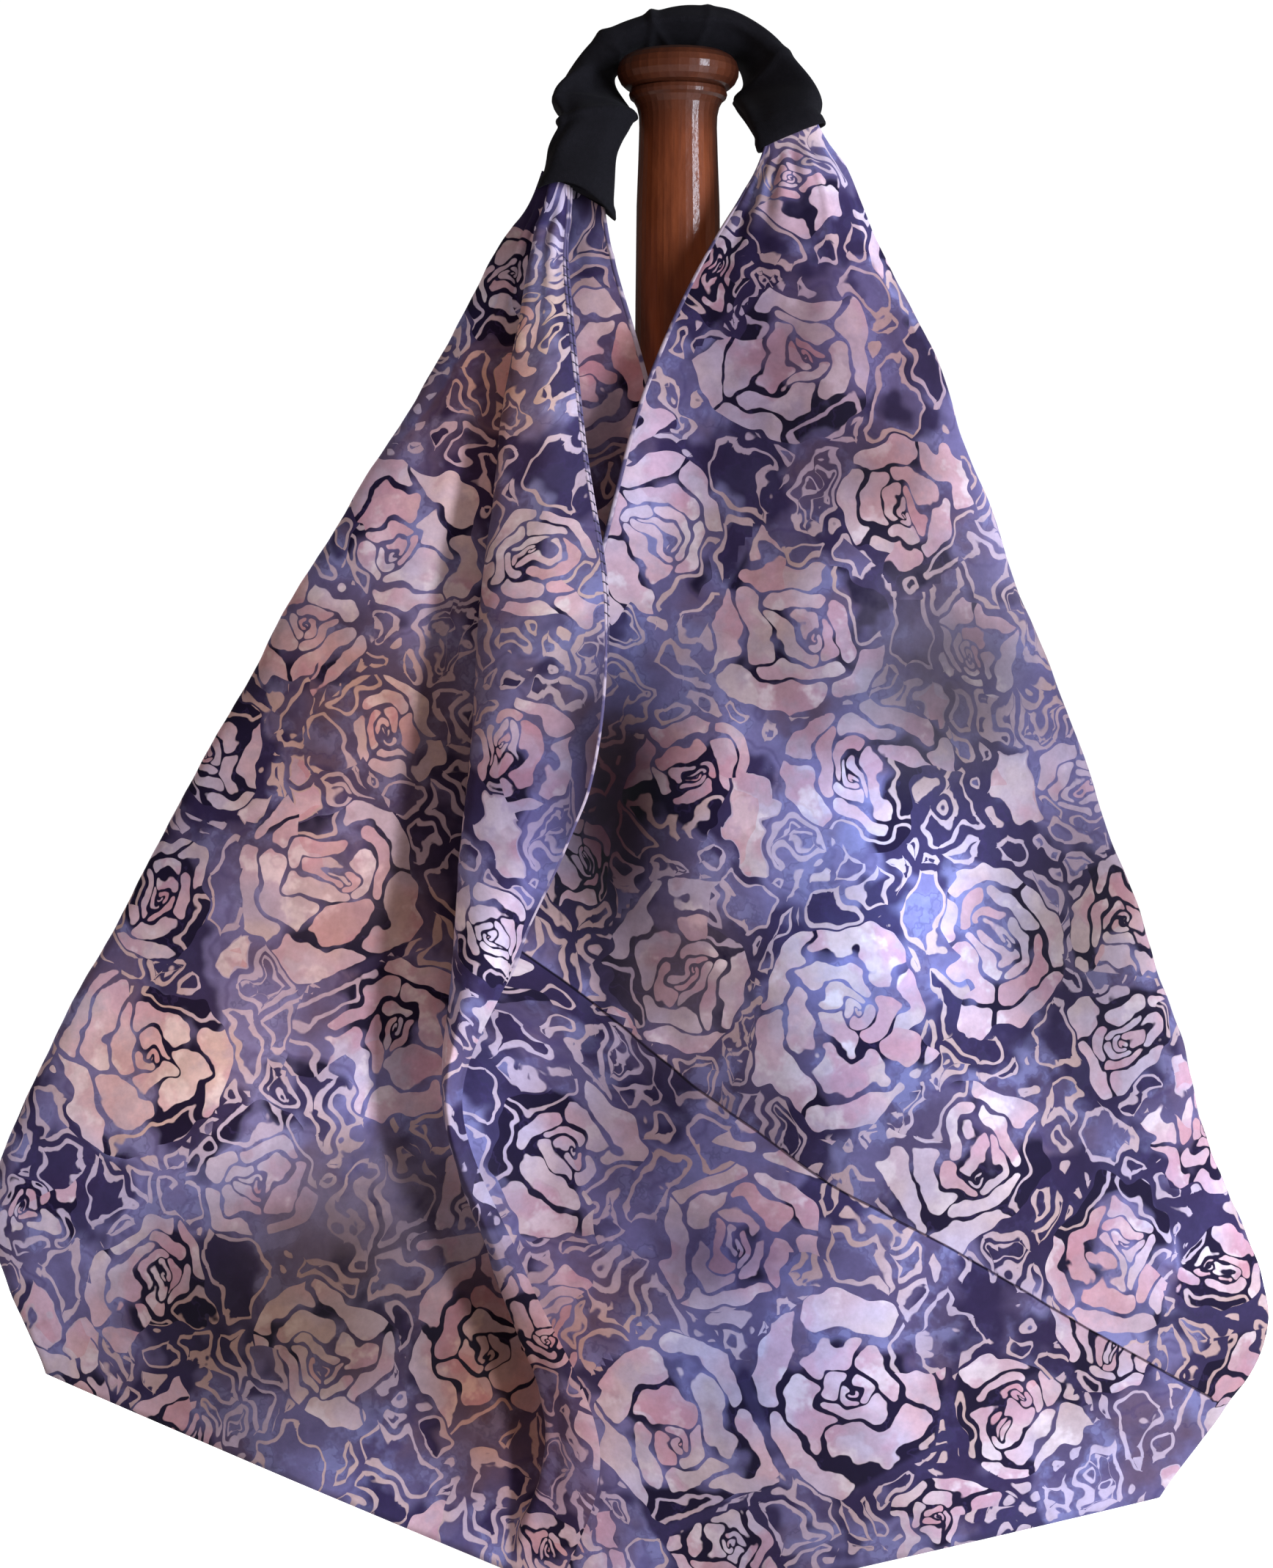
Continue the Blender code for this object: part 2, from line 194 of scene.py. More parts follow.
def cloth_rows(at, steps):
    """The left part and the right part of the cloth, each as rows of points in millimetres."""
    left, right = fold_places(LEFT_ACROSS, LEFT_DEPTH, at), fold_places(RIGHT_ACROSS, RIGHT_DEPTH, at)
    closed = at >= OPEN_LEVELS
    left[closed, -1] = right[closed, -1] = (left[closed, -1] + right[closed, -1]) / 2
    left_side = left[:, list(LEFT_ACROSS).index("side"), :1]
    right_side = right[:, list(RIGHT_ACROSS).index("side"), :1]
    parts = []
    for part, is_left in ((left, True), (right, False)):
        height = cloth_height(part[..., 0], at[:, None], left_side, right_side, is_left)
        parts.append(across_folds(np.concatenate([part, height[..., None]], axis=2), steps))
    return parts


ROWS_PER_LEVEL = 21
COLUMNS_PER_FOLD = 14
levels_down = np.arange(9 * ROWS_PER_LEVEL + 1) / ROWS_PER_LEVEL
left_rows, right_rows = cloth_rows(levels_down, COLUMNS_PER_FOLD)
LEFT_SIDE = list(LEFT_ACROSS).index("side") * COLUMNS_PER_FOLD
RIGHT_SIDE = list(RIGHT_ACROSS).index("side") * COLUMNS_PER_FOLD
first_joined = OPEN_LEVELS * ROWS_PER_LEVEL
print("cloth grid:", left_rows.shape[:2], "and", right_rows.shape[:2])

# %% [markdown]
# ## The flat cloth
# A print is dyed while the cloth lies flat, so it bends with every fold. To put it on, each point
# needs its place on the flat strip. Rows run with the threads, so the length walked along a row
# from the side fold gives one direction, and the height gives the other. The two halves of the
# strip meet at a slanting seam, where the print breaks off, so every point gets two flat places,
# one for each half, and its distance from the seam says which of them counts.

# %% Places on the flat strip


def walked(rows, side):
    """Length walked along each row, counted from the side fold."""
    steps = np.linalg.norm(np.diff(rows, axis=1), axis=2)
    along = np.concatenate([np.zeros((len(rows), 1)), np.cumsum(steps, axis=1)], axis=1)
    return along - along[:, side : side + 1]


def line_distance(points, line):
    """Distance from points (x, z) to a bent line: positive above it and negative below it."""
    line = np.asarray(line, float)
    starts, ends = line[:-1], line[1:]
    spans = ends - starts
    to_point = points[:, None] - starts[None]
    share = np.clip((to_point * spans).sum(2) / (spans**2).sum(1), 0, 1)
    apart = to_point - share[..., None] * spans
    lengths = np.linalg.norm(apart, axis=2)
    nearest = lengths.argmin(1)
    pick = np.arange(len(points))
    side = spans[nearest, 0] * apart[pick, nearest, 1] - spans[nearest, 1] * apart[pick, nearest, 0]
    return np.sign(side) * lengths[pick, nearest]


FRONT_SEAM = ((-86, 391), (-80, 385), (9, 316), (74, 271), (131, 241), (200, 199), (268, 159))
BACK_SEAM = ((-330, 172), (-200, 235), (-90, 312), (0, 385), (44, 424))
NO_SEAM = 300.0
JOIN_WIDTH = 90.0
STRAIGHT_LEVELS = 7
UNDER_SHIFT = (60, 0)


def on_strip(rows, side, way):
    """Places on the flat strip, in millimetres. On the front, the place across is the side fold's
    plus the length walked from it. The back is the front's mirror image in the straight line that
    the side fold follows. Near the fold it's moved to join the front, and further away ever less."""
    flat = np.stack([rows[:, [side], 0] - way * walked(rows, side), rows[..., 2]], axis=2)
    fold, back = rows[:, side][:, [0, 2]], rows[:, side:][..., [0, 2]]
    top, low = fold[0], fold[STRAIGHT_LEVELS * ROWS_PER_LEVEL]
    line = (low - top) / np.linalg.norm(low - top)

    def mirrored(places):
        from_top = places - top
        return top + 2 * (from_top @ line)[..., None] * line - from_top

    join = np.exp(-(((back - fold[:, None]) ** 2).sum(2) / JOIN_WIDTH**2))[..., None]
    flat[:, side:] = mirrored(back) + (fold - mirrored(fold))[:, None] * join
    return flat


left_flat = on_strip(left_rows, LEFT_SIDE, 1)
right_flat = on_strip(right_rows, RIGHT_SIDE, -1)
left_under = left_rows[..., [0, 2]] * (-1, 1) + UNDER_SHIFT
hem_shift = left_flat[:, :1, 0] - right_rows[:, :1, 0]
from_hem = np.exp(-np.abs(right_rows[..., 0] - right_rows[:, :1, 0]) / JOIN_WIDTH)
shift_across = hem_shift.mean() + (hem_shift - hem_shift.mean()) * from_hem
right_under = right_rows[..., [0, 2]] + np.stack([shift_across, np.zeros_like(shift_across)], axis=2)


def seam_distance(rows, line, is_front):
    """Distance to the seam where the part is on the seam's side of the bag, and far away elsewhere."""
    found = line_distance(rows[..., [0, 2]].reshape(-1, 2), line).reshape(rows.shape[:2])
    return np.where(is_front, found, NO_SEAM)


left_columns, right_columns = np.arange(left_rows.shape[1]), np.arange(right_rows.shape[1])
left_seam = seam_distance(left_rows, BACK_SEAM, left_columns[None] >= LEFT_SIDE)
right_seam = seam_distance(right_rows, FRONT_SEAM, right_columns[None] <= RIGHT_SIDE)
print("points below the front seam:", int((right_seam < 0).sum()))

# %% [markdown]
# ## Creases in the cloth
# Cotton that hangs from two gathered points doesn't lie as smooth as the table. It has pleats
# where it enters the strap, long soft waves further down, and puckers along the sewn seam. Each is
# a wave whose height depends on the place, and moves the cloth along its own outward direction.

# %% Waves that move the cloth


def outward(rows):
    """Unit directions square to the cloth, from the cross product of its two tangents."""
    square = np.cross(np.gradient(rows, axis=0), np.gradient(rows, axis=1))
    return square / np.maximum(np.linalg.norm(square, axis=2, keepdims=True), 1e-9)


WAVE_SPREAD = (0.7, 1.5)


def soft_waves(flat, wavelength, count, seed):
    """A sum of sines in random directions, all near one wavelength, scaled to stay near one."""
    draw = np.random.default_rng(seed)
    turns = draw.uniform(0, np.pi, count)
    waves = 2 * np.pi / (wavelength * draw.uniform(*WAVE_SPREAD, count))
    shifts = draw.uniform(0, 2 * np.pi, count)
    total = sum(
        np.sin(wave * (flat[..., 0] * np.cos(turn) + flat[..., 1] * np.sin(turn)) + shift)
        for turn, wave, shift in zip(turns, waves, shifts)
    )
    return total / np.sqrt(count)


# %% Add gathers, waves and puckers
LEFT_SEED, RIGHT_SEED = 11, 21
LEFT_GATHERS, RIGHT_GATHERS = 9, 8
# Heights and lengths are in millimetres. Gathers fade and begin by the level.
GATHER_HIGH, GATHER_LEVELS, GATHER_BEND = 1.3, 1.3, 0.9
PUCKER_HIGH, PUCKER_LENGTH, PUCKER_REACH, PUCKER_BEND = 0.9, 26, 14, 1.5
WAVE_HIGH, RIPPLE_HIGH = 1.0, 0.28
# wavelength, how many waves, and what is added to the seed of the part
BENDS, WAVES, RIPPLES = (90, 5, 1), (75, 7, 0), (22, 9, 2)
TUCK = ((60, 810), (66, 790), (73, 766), (75, 745))
TUCK_HIGH, TUCK_SLOPE, TUCK_STEP = 2.8, 7, 1.2
STILL_LEVELS, STARTING_LEVELS, ENDING_LEVELS = 0.12, 0.35, 0.6
EDGE_SHARE = 1 / 12


def creased(rows, flat, seam, gathers, seed):
    """The rows moved outwards by their creases. Gathers are sines across the row that fade out below
    the ear, soft waves cover all of it, and puckers are short sines along the seam that fade away
    from it. The right ear also has one tuck. All of them die away at the cloth's edges."""
    share, level = np.linspace(0, 1, rows.shape[1])[None], levels_down[:, None]
    bend, wave, ripple = (
        soft_waves(flat, wavelength, count, seed + more)
        for wavelength, count, more in (BENDS, WAVES, RIPPLES)
    )
    gather = np.sin(2 * np.pi * gathers * share + GATHER_BEND * bend)
    gather = gather * np.exp(-((level / GATHER_LEVELS) ** 2))
    pucker = np.sin(2 * np.pi * flat[..., 0] / PUCKER_LENGTH + PUCKER_BEND * bend)
    pucker *= np.exp(-np.abs(seam) / PUCKER_REACH)
    moved = GATHER_HIGH * gather + WAVE_HIGH * wave + PUCKER_HIGH * pucker + RIPPLE_HIGH * ripple
    if seed == RIGHT_SEED:
        past = line_distance(rows[..., [0, 2]].reshape(-1, 2), TUCK).reshape(rows.shape[:2])
        moved += TUCK_HIGH * np.where(past > 0, np.exp(-past / TUCK_SLOPE), np.exp(past / TUCK_STEP))
    moved *= np.clip(np.minimum(share, 1 - share) / EDGE_SHARE, 0, 1)
    moved *= np.clip((levels_down[-1] - level) / ENDING_LEVELS, 0, 1)
    moved *= np.clip((level - STILL_LEVELS) / STARTING_LEVELS, 0, 1)
    return rows + outward(rows) * moved[..., None]


# %% Squeeze the ears into the strap's ends
CUFF_DEPTH, CUFF_LEVEL = -25.0, 0.45
CUFF_THINNER, CUFF_NARROWER = 0.45, 0.84
# middle of each cuff across, and how far the ear goes up into it
CUFFS = {LEFT_SEED: (-54.0, 10.0), RIGHT_SEED: (57.0, 3.0)}


def squeezed(rows, seed):
    """The rows with the top of the ear pressed together: thinner about the cuff's own depth,
    narrower about its middle, and pulled up into it."""
    below = np.clip(levels_down[:, None] / CUFF_LEVEL, 0, 1)
    middle, pulled_up = CUFFS[seed]
    thinner = CUFF_THINNER + (1 - CUFF_THINNER) * rise(below)
    narrower = CUFF_NARROWER + (1 - CUFF_NARROWER) * below
    rows[..., 1] = CUFF_DEPTH + (rows[..., 1] - CUFF_DEPTH) * thinner
    rows[..., 0] = middle + (rows[..., 0] - middle) * narrower
    rows[..., 2] += pulled_up * (1 - below) ** 2
    return rows


left_creased = squeezed(creased(left_rows, left_flat, left_seam, LEFT_GATHERS, LEFT_SEED), LEFT_SEED)
right_creased = squeezed(creased(right_rows, right_flat, right_seam, RIGHT_GATHERS, RIGHT_SEED), RIGHT_SEED)
print("largest crease, millimetres:", round(float(np.abs(left_creased - left_rows).max()), 2))

# %% [markdown]
# ## Where the flowers are
# The print is a batik: wax roses of many sizes, with rippling outlines between them. Each point of
# the cloth belongs to the rose that it lies nearest to, counted from the rose's rim. The point
# keeps its offset from that rose, the rose's size and turn, and its distance from the border with
# the next rose. The material then draws petals and ripples from these numbers alone.

# %% Roses on the two halves of the strip
LEFT_ROSES = (
    # x and height on the hanging bag's front, radius
    (-139, 590, 30), (-148, 492, 24), (-174, 418, 40), (-263, 417, 25), (-270, 330, 38), (-146, 336, 34),
    (-212, 269, 25), (-263, 216, 24), (-178, 178, 27), (-90, 730, 20), (-332, 250, 18), (-98, 178, 33),
    (-243, 140, 20), (-86, 482, 20), (-72, 580, 25), (-88, 690, 15), (-94, 395, 20),
)
LOWER_ROSES = (
    (-56, 284, 30), (27, 240, 28), (-66, 196, 17), (-3, 142, 40), (84, 172, 42), (164, 162, 26),
    (-80, 95, 20), (24, 88, 22), (130, 98, 20), (218, 190, 20),
)
RIGHT_ROSES = (
    (-12, 598, 32), (60, 682, 34), (60, 778, 17), (112, 610, 32), (61, 545, 38), (3, 468, 24),
    (90, 468, 31), (-52, 425, 19), (0, 374, 32), (80, 352, 40), (156, 392, 32), (142, 285, 34),
    (208, 467, 22), (222, 342, 24), (222, 236, 29), (272, 225, 18), (20, 730, 15), (150, 540, 17),
)
INSIDE_ROSES = ((-50, 676, 38), (-14, 604, 22))
DEPTH_DOUBT = 0.2
FLAT_LOW, FLAT_HIGH = (-780, -280), (780, 1180)
SPARE_SPACING, SPARE_SHIFT, SPARE_GAP = 84.0, 16, 6
SPARE_SIZES = (20, 38)


def on_flat(roses, rows, flat, columns):
    """Roses given by their place on the hanging bag, moved to the same thread on the flat cloth.
    Where layers lie over each other, points further back count as further away."""
    front, places = rows[:, columns].reshape(-1, 3), flat[:, columns].reshape(-1, 2)
    listed = np.array(roses, float)
    apart = front[None, :, [0, 2]] - listed[:, None, :2]
    behind = DEPTH_DOUBT * (front[:, 1] - front[:, 1].min())
    return np.concatenate([places[((apart**2).sum(2) + behind**2).argmin(1)], listed[:, 2:]], axis=1)


def with_spares(roses, seed):
    """The listed roses, and a loose grid of others wherever none is near, for the cloth out of view."""
    draw = np.random.default_rng(seed)
    steps = [np.arange(low, high, SPARE_SPACING) for low, high in zip(FLAT_LOW, FLAT_HIGH)]
    grid = np.stack(np.meshgrid(*steps), axis=2)
    grid[1::2, :, 0] += SPARE_SPACING / 2
    spares = grid.reshape(-1, 2) + draw.uniform(-SPARE_SHIFT, SPARE_SHIFT, (grid.size // 2, 2))
    sizes = draw.uniform(*SPARE_SIZES, len(spares))
    gap = np.linalg.norm(spares[:, None] - roses[None, :, :2], axis=2) - roses[None, :, 2]
    keep = gap.min(1) > sizes + SPARE_GAP
    return np.concatenate([roses, np.column_stack([spares, sizes])[keep]])


# %% Whose rose a point belongs to
NEAREST = 4


def rim_power(places, roses):
    """The square of a place's tangent to a rose's rim: distance squared less radius squared."""
    return ((places - roses[..., :2]) ** 2).sum(-1) - roses[..., 2] ** 2


def rose_borders(places, roses):
    """For faces with their corners' flat places: the rose that the face's middle belongs to, and
    each corner's distance from the border with the next roses, in millimetres, negative past it.
    On the border the tangents to both rims are equally long, so a large rose gets more room. Their
    squares differ by a linear amount, so the distance stays exact all over the face."""
    near = rim_power(places.mean(1)[:, None], roses[None]).argsort(1)[:, :NEAREST]
    own, rivals = roses[near[:, 0]], roses[near[:, 1:]]
    spacing = np.linalg.norm(rivals[..., :2] - own[:, None, :2], axis=2)
    more = rim_power(places[:, :, None], rivals[:, None]) - rim_power(places, own[:, None])[..., None]
    return near[:, 0], (more / (2 * spacing[:, None])).min(2)


# %% Plant the roses
ROSE_SPREAD = 1.16
LARGEST_SEED = 50.0


def rose_looks(roses, seed):
    """The size, a random turn and a random number of each rose. The petals spread a little past the
    listed radius, so that neighbours crowd each other."""
    draw = np.random.default_rng(seed)
    turns, seeds = draw.uniform(0, 1, len(roses)), draw.uniform(0, LARGEST_SEED, len(roses))
    return np.column_stack([roses[:, 2] * ROSE_SPREAD, turns, seeds])


left_front, left_back = slice(0, LEFT_SIDE + 1), slice(LEFT_SIDE, None)
right_front = slice(0, RIGHT_SIDE + 1)
left_listed = np.concatenate([
    on_flat(LEFT_ROSES, left_rows, left_flat, left_front),
    on_flat(LOWER_ROSES, right_rows, right_under, right_front),
    on_flat(INSIDE_ROSES, left_rows, left_flat, left_back),
])
right_listed = on_flat(RIGHT_ROSES, right_rows, right_flat, right_front)
left_roses, right_roses = with_spares(left_listed, 5), with_spares(right_listed, 6)
left_looks, right_looks = rose_looks(left_roses, 31), rose_looks(right_roses, 32)
print("roses:", len(left_roses), "left,", len(right_roses), "right")

# %% [markdown]
# ## Washes of dye and painted light
# Wide, soft-edged washes filter the cloth's colour: smoky ones, warm ones and a few bright ones. They are
# partly dye and partly painted light and shade. The darkest is a painted shadow in the recess right of the
# flap's hem. Those that brighten the crest of the right ear are painted light, and the one on the inside of
# the back brightens it where shade falls. A table names each by its place on the front, its half width and
# half height, and the colour that it filters through. They are kept as one colour per point.

# %% Name the washes
FRONT_DEPTH = -40
DYE_AND_PAINTED_LIGHT = (
    # x, height, half width, half height, filter
    # partly dye and partly painted shade, on the side of the right ear turned from the light
    (134, 518, 58, 64, (0.26, 0.23, 0.20)),
    (103, 617, 32, 36, (0.58, 0.50, 0.46)),
    (75, 690, 80, 80, (0.56, 0.46, 0.48)),
    (1, 376, 46, 42, (0.78, 0.66, 0.58)),
    (205, 490, 34, 80, (0.64, 0.60, 0.62)),
    (215, 300, 46, 70, (0.70, 0.68, 0.67)),
    # painted light on the lit crest of the right ear
    (92, 400, 56, 120, (1.14, 1.27, 1.36)),
    # painted shadow in the recess to the right of the flap's hem
    (-34, 460, 36, 90, (0.06, 0.02, 0.03)),
    (0, 300, 60, 34, (0.60, 0.56, 0.58)),
    (83, 354, 48, 46, (1.12, 1.26, 1.40)),
    (75, 468, 36, 28, (1.06, 1.08, 1.14)),
    (35, 180, 50, 34, (0.96, 1.18, 1.46)),
    (28, 233, 42, 18, (0.60, 0.60, 0.75)),
    (-155, 515, 70, 60, (0.86, 0.66, 0.50)),
    (-106, 658, 40, 60, (1.14, 0.82, 0.63)),
    (-176, 405, 70, 70, (1.00, 0.80, 0.66)),
    (-250, 325, 62, 48, (1.26, 1.06, 0.84)),
    (-185, 205, 90, 70, (0.36, 0.27, 0.19)),
    (-102, 160, 34, 60, (0.52, 0.32, 0.20)),
    (-60, 150, 30, 110, (0.80, 0.60, 0.53)),
    (0, 250, 90, 40, (0.66, 0.61, 0.64)),
    (165, 380, 38, 36, (0.80, 0.84, 0.88)),
    (200, 400, 52, 78, (0.38, 0.32, 0.27)),
    (-77, 452, 24, 42, (0.64, 0.60, 0.68)),
    (26, 458, 30, 48, (1.14, 1.10, 1.06)),
    (-66, 550, 20, 70, (1.20, 1.22, 1.14)),
    (-71, 680, 18, 60, (0.94, 0.92, 0.76)),
)
# painted light that brightens the shaded inside of the back, seen through the mouth
INSIDE_PAINTED_LIGHT = ((-34, 640, 44, 100, (1.45, 1.18, 1.12)),)
# Smoky places are partly dye and partly painted shade. The first lies on the side of the right ear turned
# from the light, where it paints shade.
SMOKE_AND_SHADE = (
    # x, height, half width, half height, share of the print that it hides
    (132, 526, 44, 50, 0.62),
    (-160, 256, 52, 34, 0.72),
    (2, 374, 32, 44, 0.42),
    (-175, 420, 50, 26, 0.25),
    (175, 566, 40, 36, 0.35),
)


# %% Fade the washes


def spot(rows, x, height, half_wide, half_high):
    """1 at a spot's middle and nearly 0 two widths away: e to the minus third power of the distance,
    which is counted in half widths across and in half heights up."""
    apart = ((rows[..., 0] - x) / half_wide) ** 2 + ((rows[..., 2] - height) / half_high) ** 2
    return np.exp(-(apart**1.5))


def dye_and_light_filter(rows):
    """The product of all the table's filters, which are dye and painted light and shade: each is its filter
    at its middle, and turns to white around it.
    """
    total = np.ones((*rows.shape[:2], 3))
    on_front = rows[..., 1:2] < FRONT_DEPTH
    for dye_and_light_washes, where in ((DYE_AND_PAINTED_LIGHT, on_front), (INSIDE_PAINTED_LIGHT, ~on_front)):
        for *shape, colour in dye_and_light_washes:
            total *= 1 + (np.array(colour) - 1) * spot(rows, *shape)[..., None] * where
    return total


def smoke_and_shade_share(rows):
    """The largest share of the smoke places, which are partly dye and partly painted shade and fade as the
    table's filters do, on the front alone.
    """
    shares = [share * spot(rows, *shape) for *shape, share in SMOKE_AND_SHADE]
    return np.max(shares, axis=0) * (rows[..., 1] < FRONT_DEPTH)


print("washes:", len(DYE_AND_PAINTED_LIGHT), "on the front and", len(SMOKE_AND_SHADE), "smoky places")

# %% [markdown]
# ## Sewing the sheet
# The left grid, the right grid and the narrow roll that joins them are one sheet. The bottom is
# closed by a row of triangles between the front's last row and the back's. A Solidify modifier
# then gives the cloth its two layers' thickness.

# %% Faces over rows of points


def grid_faces(rows, columns):
    """Four-sided faces over a grid of points numbered row by row."""
    corner = (np.arange(rows - 1)[:, None] * columns + np.arange(columns - 1)).ravel()
    return np.stack([corner, corner + columns, corner + columns + 1, corner + 1], axis=1)


def zip_rows(front, back, across):
    """Triangles between two rows of points that run to the right and share both ends. The inner
    points of both are put in order from left to right, and each makes a triangle with the last
    point of the other row before it."""
    inner = np.concatenate([front[1:-1], back[1:-1]])
    order = np.argsort(across[inner], kind="stable")
    is_back = order >= len(front) - 2
    low = np.clip(np.cumsum(~is_back), 1, len(front) - 2)
    high = np.clip(np.cumsum(is_back), 1, len(back) - 2)
    before_low = np.concatenate([[1], low[:-1]])
    before_high = np.concatenate([[1], high[:-1]])
    thirds = np.where(is_back, back[high], front[low])
    made = np.stack([front[before_low], back[before_high], thirds], axis=1)
    made = made[(made[:, 0] != made[:, 2]) & (made[:, 1] != made[:, 2])]
    ends = [[front[0], back[1], front[1]], [front[-2], back[-2], front[-1]]]
    return np.concatenate([ends, made])


# %% New objects


def new_object(name, points, faces, material=None):
    """One object from points in metres, shaded smooth, at the origin."""
    mesh = bpy.data.meshes.new(name)
    mesh.from_pydata(np.asarray(points).tolist(), [], [list(face) for face in faces])
    mesh.shade_smooth()
    if material:
        mesh.materials.append(material)
    item = bpy.data.objects.new(name, mesh)
    bpy.context.scene.collection.objects.link(item)
    return item


def faced_out(item, merged_within=0.0):
    """Merge the points that lie on each other, then turn every face outwards."""
    shell = bmesh.new()
    shell.from_mesh(item.data)
    if merged_within:
        bmesh.ops.remove_doubles(shell, verts=shell.verts, dist=merged_within)
    bmesh.ops.recalc_face_normals(shell, faces=shell.faces)
    shell.to_mesh(item.data)
    shell.free()
    return item


def set_mark(item, name, values, domain):
    """One number or one vector for each face, or each corner of a face, for a material to read."""
    values = np.asarray(values, np.float32)
    if values.ndim == 2 and values.shape[1] == 2:
        values = np.column_stack([values, np.zeros(len(values), np.float32)])
    kind, key = ("FLOAT", "value") if values.ndim == 1 else ("FLOAT_VECTOR", "vector")
    item.data.attributes.new(name, kind, domain).data.foreach_set(key, values.ravel())


# %% The three parts of the sheet, each with its flat places and its prints
roll_ends = right_creased[first_joined:, 0], left_creased[first_joined:, 0]
roll_rows = np.stack([roll_ends[0], sum(roll_ends) / 2, roll_ends[1]], axis=1)
roll_flat = left_flat[first_joined:, [0]] + (roll_rows - roll_rows[:, [-1]])[..., [0, 2]]
roll_seam = np.full(roll_rows.shape[:2], NO_SEAM)

LEFT_PRINT, RIGHT_PRINT = (left_roses, left_looks), (right_roses, right_looks)
blocks = (
    (left_creased, left_flat, left_under, left_seam, LEFT_PRINT, RIGHT_PRINT, False),
    (right_creased, right_flat, right_under, right_seam, RIGHT_PRINT, LEFT_PRINT, True),
    (roll_rows, roll_flat, roll_flat, roll_seam, LEFT_PRINT, LEFT_PRINT, False),
)
PLACE_MARKS = ("flat", "flat_under", "seam", "dye_and_light_wash", "smoke")
ROSE_MARKS = ("centre", "look", "border", "centre_under", "look_under", "border_under")
points, faces = [], []
marks = {name: [] for name in PLACE_MARKS + ROSE_MARKS}


def keep_marks(names, found):
    """Add what was found to the lists of the marks with these names."""
    for name, values in zip(names, found):
        marks[name].append(values)


def rose_marks(corners, flat, under, own_print, under_print):
    """For each face, the centre and the look of its rose, and its corners' distances from the
    border, first on its own half of the strip and then on the other."""
    found = []
    for places, (roses, looks) in ((flat, own_print), (under, under_print)):
        own, border = rose_borders(places[corners], roses)
        found += [roses[own, :2], looks[own], border.ravel()]
    return found


for rows, flat, under, seam, own_print, under_print, turned in blocks:
    places, places_under = flat.reshape(-1, 2), under.reshape(-1, 2)
    quads = grid_faces(*rows.shape[:2])
    quads = quads[:, ::-1] if turned else quads
    dye_and_light_washes, smoke_and_shade = dye_and_light_filter(rows).reshape(-1, 3), smoke_and_shade_share(rows).ravel()
    keep_marks(PLACE_MARKS, (places, places_under, seam.ravel(), dye_and_light_washes, smoke_and_shade))
    keep_marks(ROSE_MARKS, rose_marks(quads, places, places_under, own_print, under_print))
    faces.append(quads + sum(map(len, points)))
    points.append(rows.reshape(-1, 3))
points = np.concatenate(points)
print("points before the halves are merged:", len(points))

# %% Close the bottom
left_width, right_width = left_rows.shape[1], right_rows.shape[1]
last_left = (len(levels_down) - 1) * left_width
last_right = len(levels_down) * left_width + (len(levels_down) - 1) * right_width
roll_end = len(points) - 3
front = np.concatenate([last_left + np.arange(LEFT_SIDE, 0, -1), [roll_end + 2, roll_end + 1],
                        last_right + np.arange(RIGHT_SIDE + 1)])
back = np.concatenate([last_left + np.arange(LEFT_SIDE, left_width),
                       last_right + np.arange(right_width - 2, RIGHT_SIDE - 1, -1)])
closing = zip_rows(front, back, points[:, 0])
places, places_under = np.concatenate(marks["flat"]), np.concatenate(marks["flat_under"])
keep_marks(ROSE_MARKS, rose_marks(closing, places, places_under, LEFT_PRINT, RIGHT_PRINT))
print("triangles along the bottom:", len(closing))

# %% Make the sheet
CLOTH_THICKNESS = 1.6
MERGED_WITHIN = 0.005

marks = {name: np.concatenate(values) for name, values in marks.items()}
corners = np.concatenate([block.ravel() for block in (*faces, closing)])
faces = [face for block in (*faces, closing) for face in block.tolist()]
bag = new_object("bag_cloth", points * MM, faces)
for name in PLACE_MARKS:
    set_mark(bag, name, marks[name][corners], "CORNER")
for name in ROSE_MARKS:
    set_mark(bag, name, marks[name], "CORNER" if name.startswith("border") else "FACE")
faced_out(bag, MERGED_WITHIN * MM)
print("bag:", len(bag.data.vertices), "points,", len(bag.data.polygons), "faces")

solid = bag.modifiers.new("thickness", "SOLIDIFY")
solid.thickness = CLOTH_THICKNESS * MM
solid.offset = 0.0

# %% [markdown]
# ## Wiring materials
# A material is a formula, and a formula is easier to read as one than as a picture of boxes. This
# small helper adds the nodes that each step of a formula needs, and hands back the socket that
# carries its result. What more than one material needs is wired once as a group.

# %% Helpers for nodes


